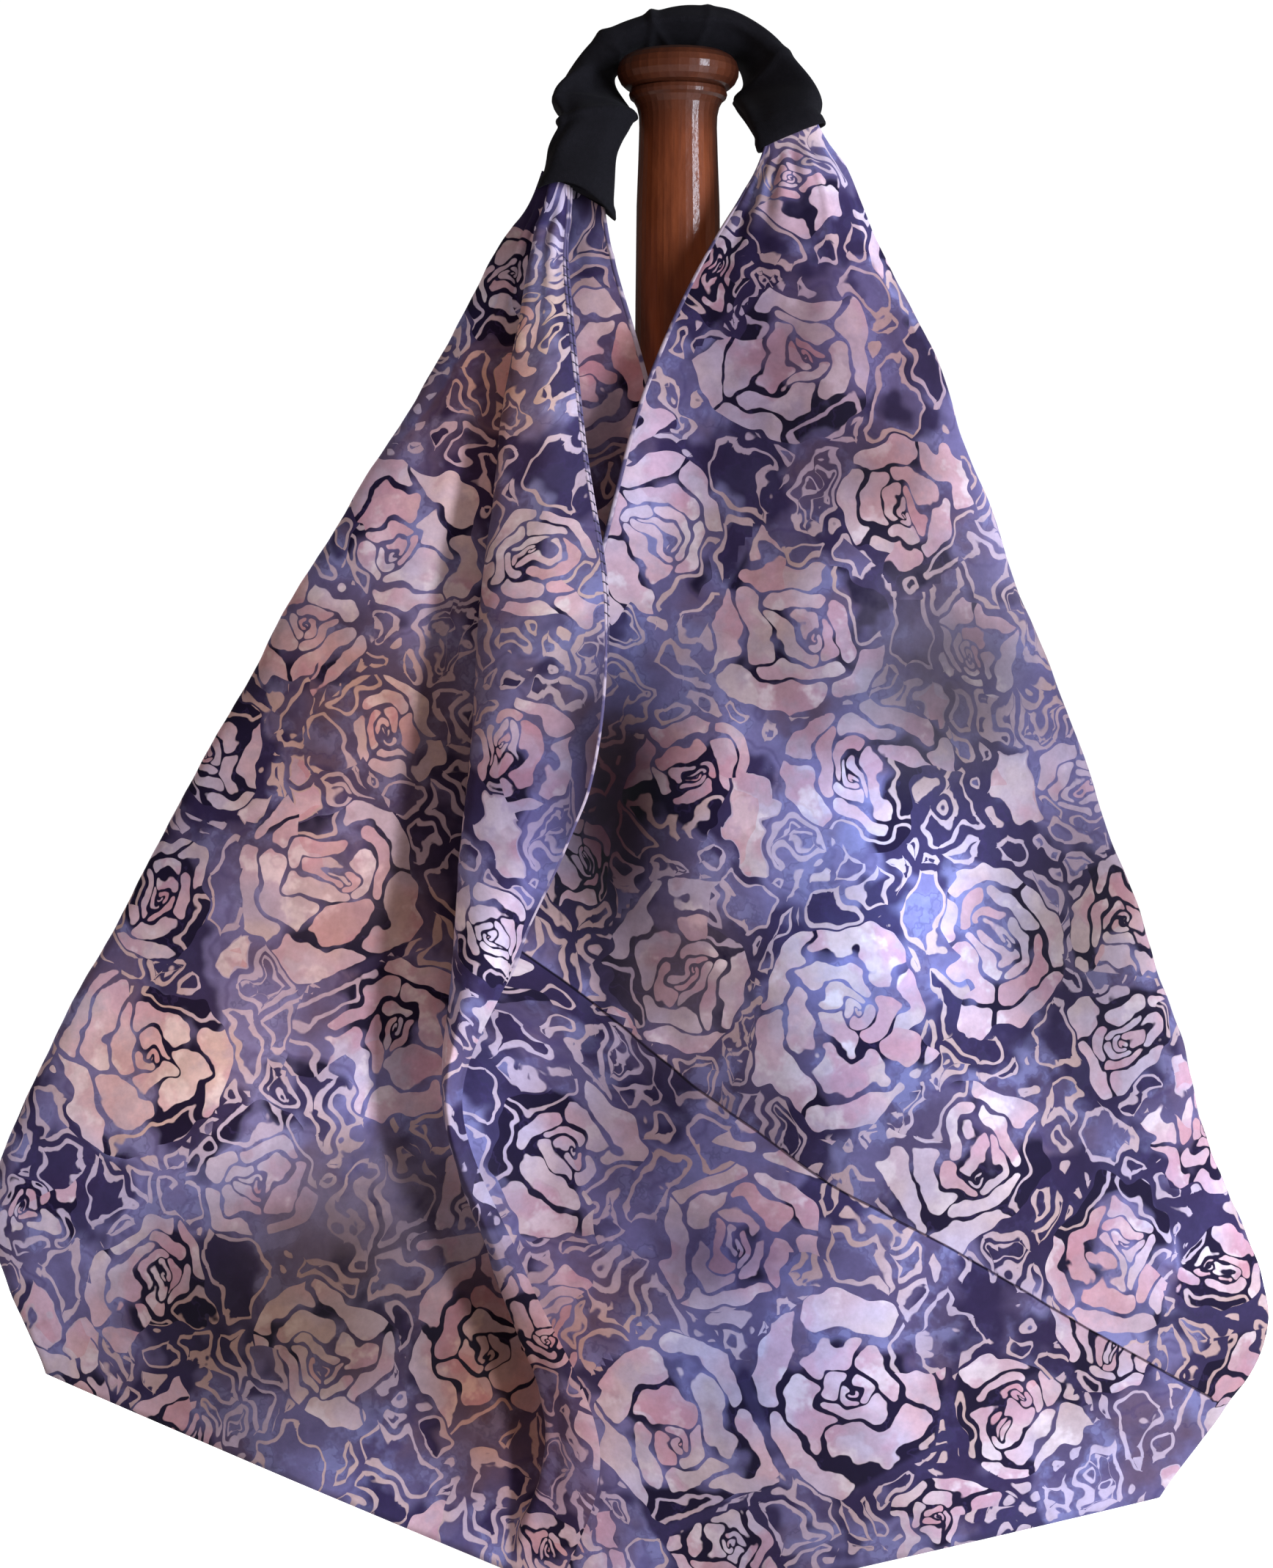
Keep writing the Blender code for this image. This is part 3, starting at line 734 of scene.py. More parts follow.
class Wiring:
    """Adds and joins the nodes of one tree, one step of a formula at a time."""

    def __init__(self, tree):
        self.tree = tree

    def join(self, value, socket):
        """Put a number, a colour or another node's output into a socket."""
        if isinstance(value, bpy.types.NodeSocket):
            self.tree.links.new(value, socket)
        elif hasattr(value, "__len__") and socket.type == "RGBA":
            socket.default_value = (*value, 1.0)
        else:
            socket.default_value = value

    def fill(self, made, inputs):
        """Put values or other nodes' outputs into a node's inputs, each by its name or number."""
        for name, value in dict(inputs).items():
            self.join(value, made.inputs[name])
        return made

    def node(self, kind, inputs=(), **settings):
        made = self.tree.nodes.new("ShaderNode" + kind)
        for name, value in settings.items():
            setattr(made, name, value)
        return self.fill(made, inputs)

    def math(self, operation, *values):
        return self.node("Math", enumerate(values), operation=operation).outputs[0]

    def vector(self, operation, *values):
        made = self.node("VectorMath", enumerate(values), operation=operation)
        return made.outputs[1 if operation in ("LENGTH", "DISTANCE", "DOT_PRODUCT") else 0]

    def scaled(self, value, factor):
        return self.node("VectorMath", {0: value, 3: factor}, operation="SCALE").outputs[0]

    def blend(self, share, low, high):
        """A colour part of the way from low to high."""
        return self.node("Mix", {0: share, 6: low, 7: high}, data_type="RGBA").outputs[2]

    def choose(self, share, low, high):
        """A vector part of the way from low to high."""
        return self.node("Mix", {0: share, 4: low, 5: high}, data_type="VECTOR").outputs[1]

    def times(self, first, second):
        return self.math("MULTIPLY", first, second)

    def plus(self, first, second):
        return self.math("ADD", first, second)

    def minus(self, first, second):
        return self.math("SUBTRACT", first, second)

    def less(self, value, limit):
        """1 where a value is below a limit, and 0 elsewhere."""
        return self.math("LESS_THAN", value, limit)

    def inverse(self, share):
        return self.minus(1.0, share)

    def smooth(self, value, low, high):
        """0 below low, 1 above high, and a smooth step between them."""
        made = self.node("MapRange", {0: value, 1: low, 2: high}, interpolation_type="SMOOTHSTEP")
        return made.outputs[0]

    def noise(self, place, scale, detail=2.0, roughness=0.5, output=0):
        """Noise as a number, or as a vector from output 1."""
        inputs = {"Vector": place, "Scale": scale, "Detail": detail, "Roughness": roughness}
        return self.node("TexNoise", inputs).outputs[output]

    def split(self, value):
        made = self.node("SeparateXYZ", {0: value})
        return made.outputs[0], made.outputs[1], made.outputs[2]

    def attribute(self, name):
        return self.node("Attribute", attribute_name=name)


def new_group(name, takes, gives):
    """An empty node group with named inputs and outputs, and the wiring to fill it."""
    tree = bpy.data.node_groups.new(name, "ShaderNodeTree")
    for socket, kind in takes.items():
        tree.interface.new_socket(socket, in_out="INPUT", socket_type="NodeSocket" + kind)
    for socket, kind in gives.items():
        tree.interface.new_socket(socket, in_out="OUTPUT", socket_type="NodeSocket" + kind)
    start, end = tree.nodes.new("NodeGroupInput"), tree.nodes.new("NodeGroupOutput")
    return tree, Wiring(tree), start.outputs, end


def new_material(name):
    """A material with its Principled shader and the wiring of its tree."""
    material = bpy.data.materials.new(name)
    material.use_nodes = True
    return material, Wiring(material.node_tree), material.node_tree.nodes["Principled BSDF"]


# %% [markdown]
# ## The weave
# Close up, both cottons are plain weave: threads over and under each other about every half
# millimetre. Two crossed sine waves, one of them shifted by half a thread in every other row, make
# that checker of small bumps, and a little noise keeps the threads uneven.

# %% A group for plain weave
THREAD_WAVES, THREAD_DRIFT = 900.0, 0.0002

weave_group, wire, given, end = new_group(
    "plain weave", {"Place": "Vector", "Threads": "Float"}, {"Height": "Float"}
)
uneven = wire.scaled(wire.noise(given["Place"], THREAD_WAVES, output=1), THREAD_DRIFT)
x, y, _ = wire.split(wire.scaled(wire.vector("ADD", given["Place"], uneven), given["Threads"]))
warp, weft = (wire.math("SINE", wire.times(along, 2 * np.pi)) for along in (x, y))
wire.fill(end, {"Height": wire.math("MULTIPLY_ADD", wire.times(warp, weft), 0.5, 0.5)})
print("groups:", [tree.name for tree in bpy.data.node_groups])

# %% [markdown]
# ## Petals of a wax rose
# A rose is one spiral. Walking outwards, the ring number grows with the logarithm of the distance,
# so that outer petals are larger, and adding the angle turns the rings into a spiral. The way
# along the spiral is cut into petals. The distance to the nearest edge of a petal, rounded at the
# corners, then says where the wax pen filled it. Noise bends everything, as a hand does.

# %% Helpers for what a hand draws
COARSE_WAVES, FINE_WAVES = 0.030, 0.085


def bent(wire, place, coarse, fine):
    """How far the hand strays at a place: two noises, a coarse one and a fine one, each with waves
    so many to the millimetre and so many millimetres high."""
    slow = wire.vector("SUBTRACT", wire.noise(place, COARSE_WAVES, 0.0, output=1), (0.5, 0.5, 0.5))
    quick = wire.vector("SUBTRACT", wire.noise(place, FINE_WAVES, 0.3, output=1), (0.5, 0.5, 0.5))
    return wire.vector("ADD", wire.scaled(slow, coarse), wire.scaled(quick, fine))


def strip_edge(wire, share, width):
    """Distance to the nearer edge of a strip, from the share of the way across it."""
    centred = wire.math("ABSOLUTE", wire.minus(share, 0.5))
    return wire.times(wire.minus(0.5, centred), width)


def rounded_edge(wire, first, second, third, radius):
    """Distance to the edge of a shape with round corners, from its distances to three sides: the
    radius less the length of what each distance lacks of the radius."""
    sides = wire.node("CombineXYZ", {0: first, 1: second, 2: third}).outputs[0]
    full = wire.node("CombineXYZ", {0: radius, 1: radius, 2: radius}).outputs[0]
    lack = wire.vector("MAXIMUM", wire.vector("SUBTRACT", full, sides), (0.0, 0.0, 0.0))
    return wire.minus(radius, wire.vector("LENGTH", lack))


# %% A group for the petals: where a place is on the spiral
TURN = 2 * np.pi
RING_GROWTH = 1.6
HEART_SHARE = 0.17
ROSE_BEND = (28.0, 12.5)

petal_group, wire, given, end = new_group(
    "wax petals",
    {"Place": "Vector", "Offset": "Vector", "Border": "Float", "Look": "Vector"},
    dict.fromkeys(("Inside", "Edge", "Beyond", "Chance", "Last", "Reach"), "Float"),
)
across, up, _ = wire.split(wire.vector("ADD", given["Offset"], bent(wire, given["Place"], *ROSE_BEND)))
size, turn, seed = wire.split(given["Look"])
mirror = wire.math("SIGN", wire.minus(seed, LARGEST_SEED / 2))
across = wire.times(across, mirror)
reach = wire.vector("LENGTH", wire.node("CombineXYZ", {0: across, 1: up}).outputs[0])
heart = wire.times(size, HEART_SHARE)
turned = wire.math("DIVIDE", wire.math("ARCTAN2", up, across), TURN)
angle = wire.math("FRACT", wire.plus(turned, turn))
rings = wire.math("LOGARITHM", wire.plus(wire.math("DIVIDE", reach, heart), 1.0), RING_GROWTH)
spiral = wire.plus(rings, angle)
ring = wire.math("FLOOR", spiral)
thickness = wire.times(wire.plus(reach, heart), float(np.log(RING_GROWTH)))
print("rings grow by", RING_GROWTH)

# %% The petals along the spiral, and their edges
PETALS_AT_HEART, PETALS_MORE = 1.2, 1.1
CORNER_SHARE, LARGEST_CORNER = 0.45, 6.5
BORDER_WAVES, BORDER_DRIFT = 0.05, -4.5
FILLED_RINGS = 4.7
LAST_RINGS = 1.6
OPEN_BORDER, PUSHED_OUT = 3.0, 20.0

arm = wire.minus(ring, angle)
petals_per_turn = wire.math("MULTIPLY_ADD", arm, PETALS_MORE, PETALS_AT_HEART)
petals_so_far = wire.times(arm, wire.math("MULTIPLY_ADD", arm, PETALS_MORE / 2, PETALS_AT_HEART))
along = wire.plus(petals_so_far, seed)
petal_width = wire.math("DIVIDE", wire.times(reach, TURN), petals_per_turn)
radial = strip_edge(wire, wire.math("FRACT", spiral), thickness)
sideways = strip_edge(wire, wire.math("FRACT", along), petal_width)
uneven = wire.math("MULTIPLY_ADD", wire.noise(given["Place"], BORDER_WAVES, 1.0), BORDER_DRIFT, 1.0)
to_border = wire.plus(given["Border"], uneven)
corner = wire.math("MINIMUM", wire.times(thickness, CORNER_SHARE), LARGEST_CORNER)
number = wire.node("CombineXYZ", {0: ring, 1: wire.math("FLOOR", along), 2: seed}).outputs[0]
past_rings = wire.times(wire.minus(spiral, FILLED_RINGS), thickness)
wire.fill(end, {
    "Inside": wire.less(spiral, FILLED_RINGS),
    "Edge": rounded_edge(wire, radial, sideways, to_border, corner),
    "Beyond": wire.math("MULTIPLY_ADD", wire.less(given["Border"], OPEN_BORDER), PUSHED_OUT, past_rings),
    "Chance": wire.node("TexWhiteNoise", {0: number}).outputs[0],
    "Last": wire.math("GREATER_THAN", ring, FILLED_RINGS - LAST_RINGS),
    "Reach": reach,
})
print("groups:", [tree.name for tree in bpy.data.node_groups])

# %% [markdown]
# ## Ripples between the roses
# Around the roses the wax pen drew closed, rippling outlines, like empty petals. They are the
# cells of a Voronoi pattern, whose coordinates are bent so much that the cells lose their straight
# sides. A line at a fixed distance inside each cell's edge is its outline, and because the wax
# also walled off the dye, every outline may hold a darker or a lighter ground than its neighbour.

# %% A group for one bent cell
CELL_SCALE = 0.0350
LARGEST_LOOP = 23.0
CELL_BEND, CELL_SHIFT = (31.0, 13.0), (70.0, 30.0, 0.0)
CELL_STRETCH = (1.0, 0.70, 1.0)
CELL_DISORDER = 0.75

cell_group, wire, given, end = new_group(
    "wax cell", {"Place": "Vector"}, {"Gap": "Float", "Tip": "Float", "Chance": "Float", "Tone": "Float"}
)
shifted = wire.vector("ADD", given["Place"], CELL_SHIFT)
moved = wire.vector("ADD", given["Place"], bent(wire, shifted, *CELL_BEND))
stretched = wire.vector("MULTIPLY", moved, CELL_STRETCH)
cells = {"Vector": stretched, "Scale": CELL_SCALE, "Randomness": CELL_DISORDER}
cell = wire.node("TexVoronoi", cells, feature="F1")
to_edge = wire.node("TexVoronoi", cells, feature="DISTANCE_TO_EDGE")
from_middle = wire.math("DIVIDE", cell.outputs["Distance"], CELL_SCALE)
chance, tone, _ = wire.split(cell.outputs["Color"])
wire.fill(end, {
    "Gap": wire.math("DIVIDE", to_edge.outputs["Distance"], CELL_SCALE),
    "Tip": wire.minus(LARGEST_LOOP, from_middle),
    "Chance": chance,
    "Tone": tone,
})
print("cells, millimetres across:", round(1 / CELL_SCALE))

# %% [markdown]
# A wax pen draws a line of even width, but bending squeezes some parts of a pattern and widens
# others. The cell is therefore read at three places half a millimetre apart, which gives its slope,
# and a distance divided by its own slope is again in true millimetres.

# %% A group for the ripples
APART = 0.5
GAP_SLOPES, TIP_SLOPES = (0.55, 2.6), (0.8, 2.6)
LOOP_ROUNDING = 9.5

ripple_group, wire, given, end = new_group(
    "wax ripples",
    {"Place": "Vector", "Beyond": "Float"},
    {"Edge": "Float", "Chance": "Float", "Tone": "Float"},
)
here, right_of, above = (
    wire.node("Group", {"Place": wire.vector("ADD", given["Place"], step)}, node_tree=cell_group)
    for step in ((0.0, 0.0, 0.0), (APART, 0.0, 0.0), (0.0, APART, 0.0))
)


def true_distance(name, least, most):
    """A distance divided by its slope, which is kept between two limits."""
    value = here.outputs[name]
    rises = [wire.minus(reading.outputs[name], value) for reading in (right_of, above)]
    climb = wire.node("CombineXYZ", dict(enumerate(rises))).outputs[0]
    slope = wire.vector("LENGTH", wire.scaled(climb, 1 / APART))
    return wire.math("DIVIDE", value, wire.math("MINIMUM", wire.math("MAXIMUM", slope, least), most))


gap, to_tip = true_distance("Gap", *GAP_SLOPES), true_distance("Tip", *TIP_SLOPES)
wire.fill(end, {
    "Edge": rounded_edge(wire, gap, given["Beyond"], to_tip, LOOP_ROUNDING),
    "Chance": here.outputs["Chance"],
    "Tone": here.outputs["Tone"],
})
print("groups:", [tree.name for tree in bpy.data.node_groups])

# %% [markdown]
# ## Batik cotton
# The ground was dyed several times in blues and violets, which pooled and dried unevenly. The wax
# kept the petals and lines pale, and later baths stained them pink and peach. So the colour is
# built the way it was dyed: mottled ground first, dark pools on it, and the waxed parts on top.
# The material first has to know which half of the strip a point is on, and where it is there.

# %% Read the marks
OTHER_HALF = (3000.0, 1000.0, 0.0)

batik, wire, shader = new_material("batik cotton")
seam = wire.attribute("seam").outputs["Fac"]
lower = wire.less(seam, 0.0)


def either_side(name):
    """A vector mark from above the seam, or its twin from below it."""
    above, below = (wire.attribute(mark).outputs["Vector"] for mark in (name, name + "_under"))
    return wire.choose(lower, above, below)


cloth_place, border = either_side("flat"), wire.split(either_side("border"))[0]
place = wire.vector("ADD", cloth_place, wire.scaled(OTHER_HALF, lower))
offset = wire.vector("SUBTRACT", cloth_place, either_side("centre"))
on_rose = {"Place": place, "Offset": offset, "Border": border, "Look": either_side("look")}
petals = wire.node("Group", on_rose, node_tree=petal_group).outputs
ripples = wire.node("Group", {"Place": place, "Beyond": petals["Beyond"]}, node_tree=ripple_group).outputs
print("marks read:", PLACE_MARKS + ROSE_MARKS)

# %% [markdown]
# Dye and wax both spread in soft, uneven clouds. Each cloud is noise with its own scale, and is
# shifted so that no two are alike.

# %% Clouds of dye and wax
CLOUDS = {
    # name: waves in a metre, shift, detail, roughness
    "broad": (8.0, 1, 3.0, 0.55),
    "pool": (17.0, 2, 3.0, 0.5),
    "stain": (24.0, 3, 3.0, 0.55),
    "bath": (38.0, 7, 4.0, 0.6),
    "smoke": (5.5, 9, 4.0, 0.6),
    "blush": (13.0, 4, 2.0, 0.55),
    "speckle": (170.0, 5, 4.0, 0.7),
    "cream": (19.0, 12, 3.0, 0.55),
    "pen": (60.0, 6, 1.0, 0.55),
    "rag": (160.0, 13, 1.0, 0.55),
}
SHIFT_STEP = (1000.0, 0.0, 37.0)

cloud = {}
for name, (waves, shift, detail, roughness) in CLOUDS.items():
    shifted = wire.vector("ADD", place, tuple(shift * step for step in SHIFT_STEP))
    cloud[name] = wire.noise(shifted, waves / 1000.0, detail, roughness)
cloud["drained"] = wire.inverse(cloud["bath"])
print("clouds:", len(cloud))

# %% [markdown]
# The wax pen fills a petal up to a gap along its edge. The gap widens away from the rose's heart,
# and the hand makes it uneven. Some of the last petals are only outlined, and a few of the ripples'
# loops are filled or hold a second loop.

# %% Where the wax was
SOFT = 0.3
PEN_DRIFT, RAG_DRIFT, RIPPLE_DRIFT = 4.0, 2.4, 0.35
GAP_GROWTH, GAP_AT_HEART, LEAST_GAP = 0.026, 0.65, 0.4
PETAL_SOFT = 0.25
EMPTY_CHANCE, NESTED_CHANCE, STRAY_CHANCE = 0.30, 0.16, 0.91
HOLLOW_LINE, RIPPLE_LINE, NESTED_LINE = (0.6, 2.9), (1.4, 4.3), (6.8, 8.6)
STRAY_EDGE = (2.0, 2.5)


def within(value, low, high):
    """1 while a value lies between two others, with soft steps of about half a millimetre."""
    past_high = wire.smooth(value, high - SOFT, high + SOFT)
    return wire.times(wire.smooth(value, low - SOFT, low + SOFT), wire.inverse(past_high))


def drift(name, amount):
    """A cloud as a shift to both sides, in millimetres."""
    return wire.times(wire.minus(cloud[name], 0.5), amount)


pen = drift("pen", PEN_DRIFT)
widening = wire.math("MULTIPLY_ADD", petals["Reach"], GAP_GROWTH, GAP_AT_HEART)
half_gap = wire.plus(wire.plus(widening, pen), drift("rag", RAG_DRIFT))
past_gap = wire.minus(petals["Edge"], wire.math("MAXIMUM", half_gap, LEAST_GAP))
inside, outside = petals["Inside"], wire.inverse(petals["Inside"])
empty = wire.times(petals["Last"], wire.less(petals["Chance"], EMPTY_CHANCE))
filled = wire.smooth(past_gap, -PETAL_SOFT, PETAL_SOFT)
filled = wire.times(filled, wire.minus(inside, empty))
hollow = wire.times(within(past_gap, *HOLLOW_LINE), wire.times(empty, inside))

rippled = wire.plus(ripples["Edge"], wire.times(pen, RIPPLE_DRIFT))
nested = wire.times(within(rippled, *NESTED_LINE), wire.less(ripples["Chance"], NESTED_CHANCE))
lines = wire.math("MAXIMUM", within(rippled, *RIPPLE_LINE), nested)
drawn = wire.times(lines, outside)
is_stray = wire.times(wire.math("GREATER_THAN", ripples["Chance"], STRAY_CHANCE), outside)
stray = wire.times(is_stray, wire.smooth(rippled, *STRAY_EDGE))
print("wax: petals, outlines, ripples and stray petals")

# %% The dyes
DYES = {
    "plum": (0.080, 0.062, 0.135),
    "violet": (0.160, 0.148, 0.310),
    "blue": (0.200, 0.205, 0.400),
    "brown": (0.110, 0.075, 0.130),
    "ink": (0.020, 0.012, 0.052),
    "heart": (0.010, 0.006, 0.026),
    "tide": (0.045, 0.030, 0.110),
    "lilac": (0.450, 0.400, 0.530),
    "pink": (0.520, 0.330, 0.380),
    "cream": (0.500, 0.400, 0.385),
    "magenta": (0.410, 0.185, 0.265),
    "dull": (0.350, 0.290, 0.380),
    "pale": (0.700, 0.640, 0.680),
    "rim": (0.330, 0.190, 0.250),
    "light": (0.600, 0.520, 0.600),
    "rose": (0.520, 0.270, 0.310),
    "cool line": (0.420, 0.360, 0.480),
    "warm line": (0.470, 0.340, 0.330),
    # the colour of the smoky places, which partly paints shade
    "smoke": (0.185, 0.155, 0.225),
}
TIDE_WIDTH = 0.022


def dipped(cloth, share, strength, dye):
    """Cloth dyed where the share is 1, and only so strongly."""
    return wire.blend(wire.times(share, strength), cloth, DYES[dye])


def tide(name, level):
    """A thin, soft line where a cloud crosses a level, as where a pool of dye dried."""
    away = wire.math("ABSOLUTE", wire.minus(cloud[name], level))
    return wire.inverse(wire.smooth(away, 0.0, TIDE_WIDTH))


print("dyes:", len(DYES))

# %% Dye the ground
LOOP_TONE = 0.22
LOOP_INSIDE = (3.0, 3.6)
BORDER_FADE = (1.5, 5.0)

ground = wire.blend(wire.smooth(cloud["broad"], 0.40, 0.60), DYES["plum"], DYES["violet"])
ground = dipped(ground, wire.smooth(cloud["bath"], 0.48, 0.60), 0.7, "blue")
ground = dipped(ground, wire.smooth(cloud["stain"], 0.50, 0.72), 1.0, "brown")
in_loop = wire.times(outside, wire.smooth(rippled, *LOOP_INSIDE))
loop_tone = wire.times(wire.minus(ripples["Tone"], 0.5), LOOP_TONE)
wet = wire.math("MULTIPLY_ADD", loop_tone, in_loop, cloud["pool"])
ground = dipped(ground, wire.smooth(wet, 0.500, 0.575), 0.9, "ink")
off_border = wire.times(inside, wire.smooth(border, *BORDER_FADE))
near_heart = wire.times(off_border, wire.smooth(cloud["pool"], 0.465, 0.53))
ground = dipped(ground, near_heart, 1.0, "heart")
ground = dipped(ground, wire.math("MAXIMUM", tide("pool", 0.485), tide("bath", 0.56)), 0.35, "tide")
print("ground: dyed with ink where the pool is above half")

# %% Dye the petals and the lines
PETAL_DIPS = (
    # cloud, where it begins, where it is full, strength, dye
    ("cream", 0.48, 0.62, 0.70, "cream"),
    ("stain", 0.52, 0.60, 0.65, "magenta"),
    ("bath", 0.50, 0.62, 0.55, "dull"),
    ("drained", 0.55, 0.64, 0.65, "pale"),
)
ROSY_CHANCE = 0.22

petal = wire.blend(wire.smooth(cloud["blush"], 0.42, 0.58), DYES["lilac"], DYES["pink"])
for name, low, high, strength, dye in PETAL_DIPS:
    petal = dipped(petal, wire.smooth(cloud[name], low, high), strength, dye)
petal = dipped(petal, tide("stain", 0.55), 0.25, "rim")
petal = dipped(petal, petals["Chance"], 0.35, "light")
petal = dipped(petal, wire.less(petals["Chance"], ROSY_CHANCE), 0.45, "rose")
line = wire.blend(wire.smooth(cloud["blush"], 0.35, 0.65), DYES["cool line"], DYES["warm line"])
colour = ground
for share, tone in ((drawn, line), (hollow, line), (stray, petal), (filled, petal)):
    colour = wire.blend(share, colour, tone)
print("colour: ground, lines and petals")

# %% [markdown]
# Last come the filters: smoky places that hide the print, which are partly dye and partly painted shade, a
# fine mottle, the washes from the table, which are partly dye and partly painted light and shade, and a
# painted shadow line just below the seam's lip.

# %% Filter the colour
SPECKLE_GAIN, SPECKLE_LEAST = 0.6, 0.70
SMOKE_TONES = ((1.08, 1.10, 1.14), (0.74, 0.69, 0.67))
# The seam's tone paints a thin shadow just below the seam's lip.
SEAM_MIDDLE, SEAM_FADE, SEAM_SHADOW_TONE = 0.3, (0.2, 1.0), (0.42, 0.38, 0.46)
WHITE = (1.0, 1.0, 1.0)

# Smoky places: partly dye and partly painted shade.
smoke_and_shade = wire.times(wire.attribute("smoke").outputs["Fac"], wire.smooth(cloud["bath"], 0.25, 0.5))
colour = wire.blend(smoke_and_shade, colour, DYES["smoke"])
speckle = wire.math("MULTIPLY_ADD", cloud["speckle"], SPECKLE_GAIN, SPECKLE_LEAST)
filtered_colour = wire.node("HueSaturation", {"Value": speckle, "Color": colour}).outputs[0]
smoked = wire.blend(wire.smooth(cloud["smoke"], 0.42, 0.60), *SMOKE_TONES)
# A painted shadow line just below the seam.
from_seam = wire.math("ABSOLUTE", wire.plus(seam, SEAM_MIDDLE))
seam_shadow = wire.blend(wire.smooth(from_seam, *SEAM_FADE), SEAM_SHADOW_TONE, WHITE)
for filtered in (smoked, wire.attribute("dye_and_light_wash").outputs["Color"], seam_shadow):
    inputs = {0: 1.0, 6: filtered_colour, 7: filtered}
    filtered_colour = wire.node("Mix", inputs, data_type="RGBA", blend_type="MULTIPLY").outputs[2]
print("filters: smoke, washes and the seam")

# %% Weave, and the lip of the seam
BATIK_THREADS = 2200.0
LIP_UP, LIP_DOWN = (-0.9, 0.5), (1.0, 13.0)

inputs = {"Place": wire.scaled(cloth_place, MM), "Threads": BATIK_THREADS}
weave = wire.node("Group", inputs, node_tree=weave_group).outputs["Height"]
lip = wire.times(wire.smooth(seam, *LIP_UP), wire.inverse(wire.smooth(seam, *LIP_DOWN)))
sewn = wire.node("Bump", {"Strength": 1.0, "Distance": 0.0014, "Height": lip}).outputs[0]
bump = wire.node("Bump", {"Strength": 0.35, "Distance": 0.0002, "Height": weave, "Normal": sewn})
wire.fill(shader, {
    "Base Color": filtered_colour, "Normal": bump.outputs[0], "Roughness": 0.8,
    "Sheen Weight": 0.04, "Sheen Roughness": 0.4, "Specular IOR Level": 0.12,
})
bag.data.materials.append(batik)
print("batik cotton:", len(batik.node_tree.nodes), "nodes")

# %% [markdown]
# ## Hems and ladder stitches
# The free edges of the cloth are folded under and sewn down, so that each ends in a narrow rounded
# bead. On the flap two such edges lie side by side, joined by dark ladder stitches. A bead is an
# oval carried along the edge of the cloth grid: one axis runs in the cloth and the other square to
# it. A stitch is a short, flattened tube from one bead to the other.

# %% Tubes along a path


def swept(centres, first, second, around):
    """Rings of points along a path: centre plus cosine times one half axis plus sine times another."""
    turn = np.linspace(0, 2 * np.pi, around, endpoint=False)[None, :, None]
    return centres[:, None] + first[:, None] * np.cos(turn) + second[:, None] * np.sin(turn)


def tube_faces(count, around, first=0):
    """Faces over so many rings of points, with both ends closed."""
    start = first + np.arange(count - 1)[:, None] * around
    corner, beside = start + np.arange(around), start + (np.arange(around) + 1) % around
    sides = np.stack([corner, beside, beside + around, corner + around], axis=2).reshape(-1, 4).tolist()
    last = first + (count - 1) * around
    return sides + [list(range(first, first + around))[::-1], list(range(last, last + around))]


# %% Beads along the free edges
HEM_LEVELS, PAIRED_LEVELS = 5.6, 3.3
ROWS_TO_TAPER, THINNEST = 10, 0.2
SMOOTHINGS = 3
BEAD_AROUND = 12
# how far out and how far behind the edge, half the width and thickness, down to which level
PLAIN_BEADS = ((-0.5, 0.0, 1.5, 1.15, HEM_LEVELS),)
FLAP_BEADS = ((-0.4, 0.0, 1.05, 1.1, HEM_LEVELS), (1.6, 1.6, 0.95, 0.95, PAIRED_LEVELS))


def edge_frame(rows, column, inner):
    """Along an edge of the cloth: its points, the direction out of the cloth's edge, and its normal.
    The two directions are smoothed by taking the mean of each with its neighbours."""
    count = int(HEM_LEVELS * ROWS_PER_LEVEL)
    out_way = rows[:count, column] - rows[:count, inner]
    out_way /= np.linalg.norm(out_way, axis=1, keepdims=True)
    normal = outward(rows)[:count, column]
    for _ in range(SMOOTHINGS):
        out_way[1:-1] = (out_way[:-2] + out_way[1:-1] + out_way[2:]) / 3
        normal[1:-1] = (normal[:-2] + normal[1:-1] + normal[2:]) / 3
    return rows[:count, column], out_way, normal


edges = {
    "flap": edge_frame(left_creased, 0, 2),
    "right": edge_frame(right_creased, 0, 2),
    "back_left": edge_frame(left_creased, -1, -3),
    "back_right": edge_frame(right_creased, -1, -3),
}
hem_points, hem_faces = [], []
for name, (edge, out_way, normal) in edges.items():
    back = normal * np.sign(normal[:, 1:2].mean())
    beads = FLAP_BEADS if name == "flap" else PLAIN_BEADS
    for out_by, behind_by, half_wide, half_thick, down_to in beads:
        count = int(down_to * ROWS_PER_LEVEL)
        centres = (edge + out_way * out_by + back * behind_by)[:count]
        slim = np.clip((count - np.arange(count)) / ROWS_TO_TAPER, THINNEST, 1.0)[:, None]
        wide, thick = slim * out_way[:count] * half_wide, slim * normal[:count] * half_thick
        rings = swept(centres, wide, thick, BEAD_AROUND)
        hem_faces += tube_faces(len(rings), BEAD_AROUND, sum(map(len, hem_points)))
        hem_points.append(rings.reshape(-1, 3))
hems = faced_out(new_object("bag_hems", np.concatenate(hem_points) * MM, hem_faces))
print("hem beads:", len(hem_points), "with", len(hem_faces), "faces")

# %% Ladder stitches on the flap
STITCH_STEP = 5.2
STITCHED = (0.75, 3.05)
STITCH_AROUND, STITCH_RINGS = 8, 5
# each end: how far out from the edge, and how far behind it
STITCH_START, STITCH_FINISH = (-1.35, -1.2), (2.4, 0.7)
STITCH_LEANS, STITCH_SEED = (0.6, 1.6), 77
STITCH_FAT, STITCH_BULGE, THINNEST_END = 0.42, 0.5, 0.08

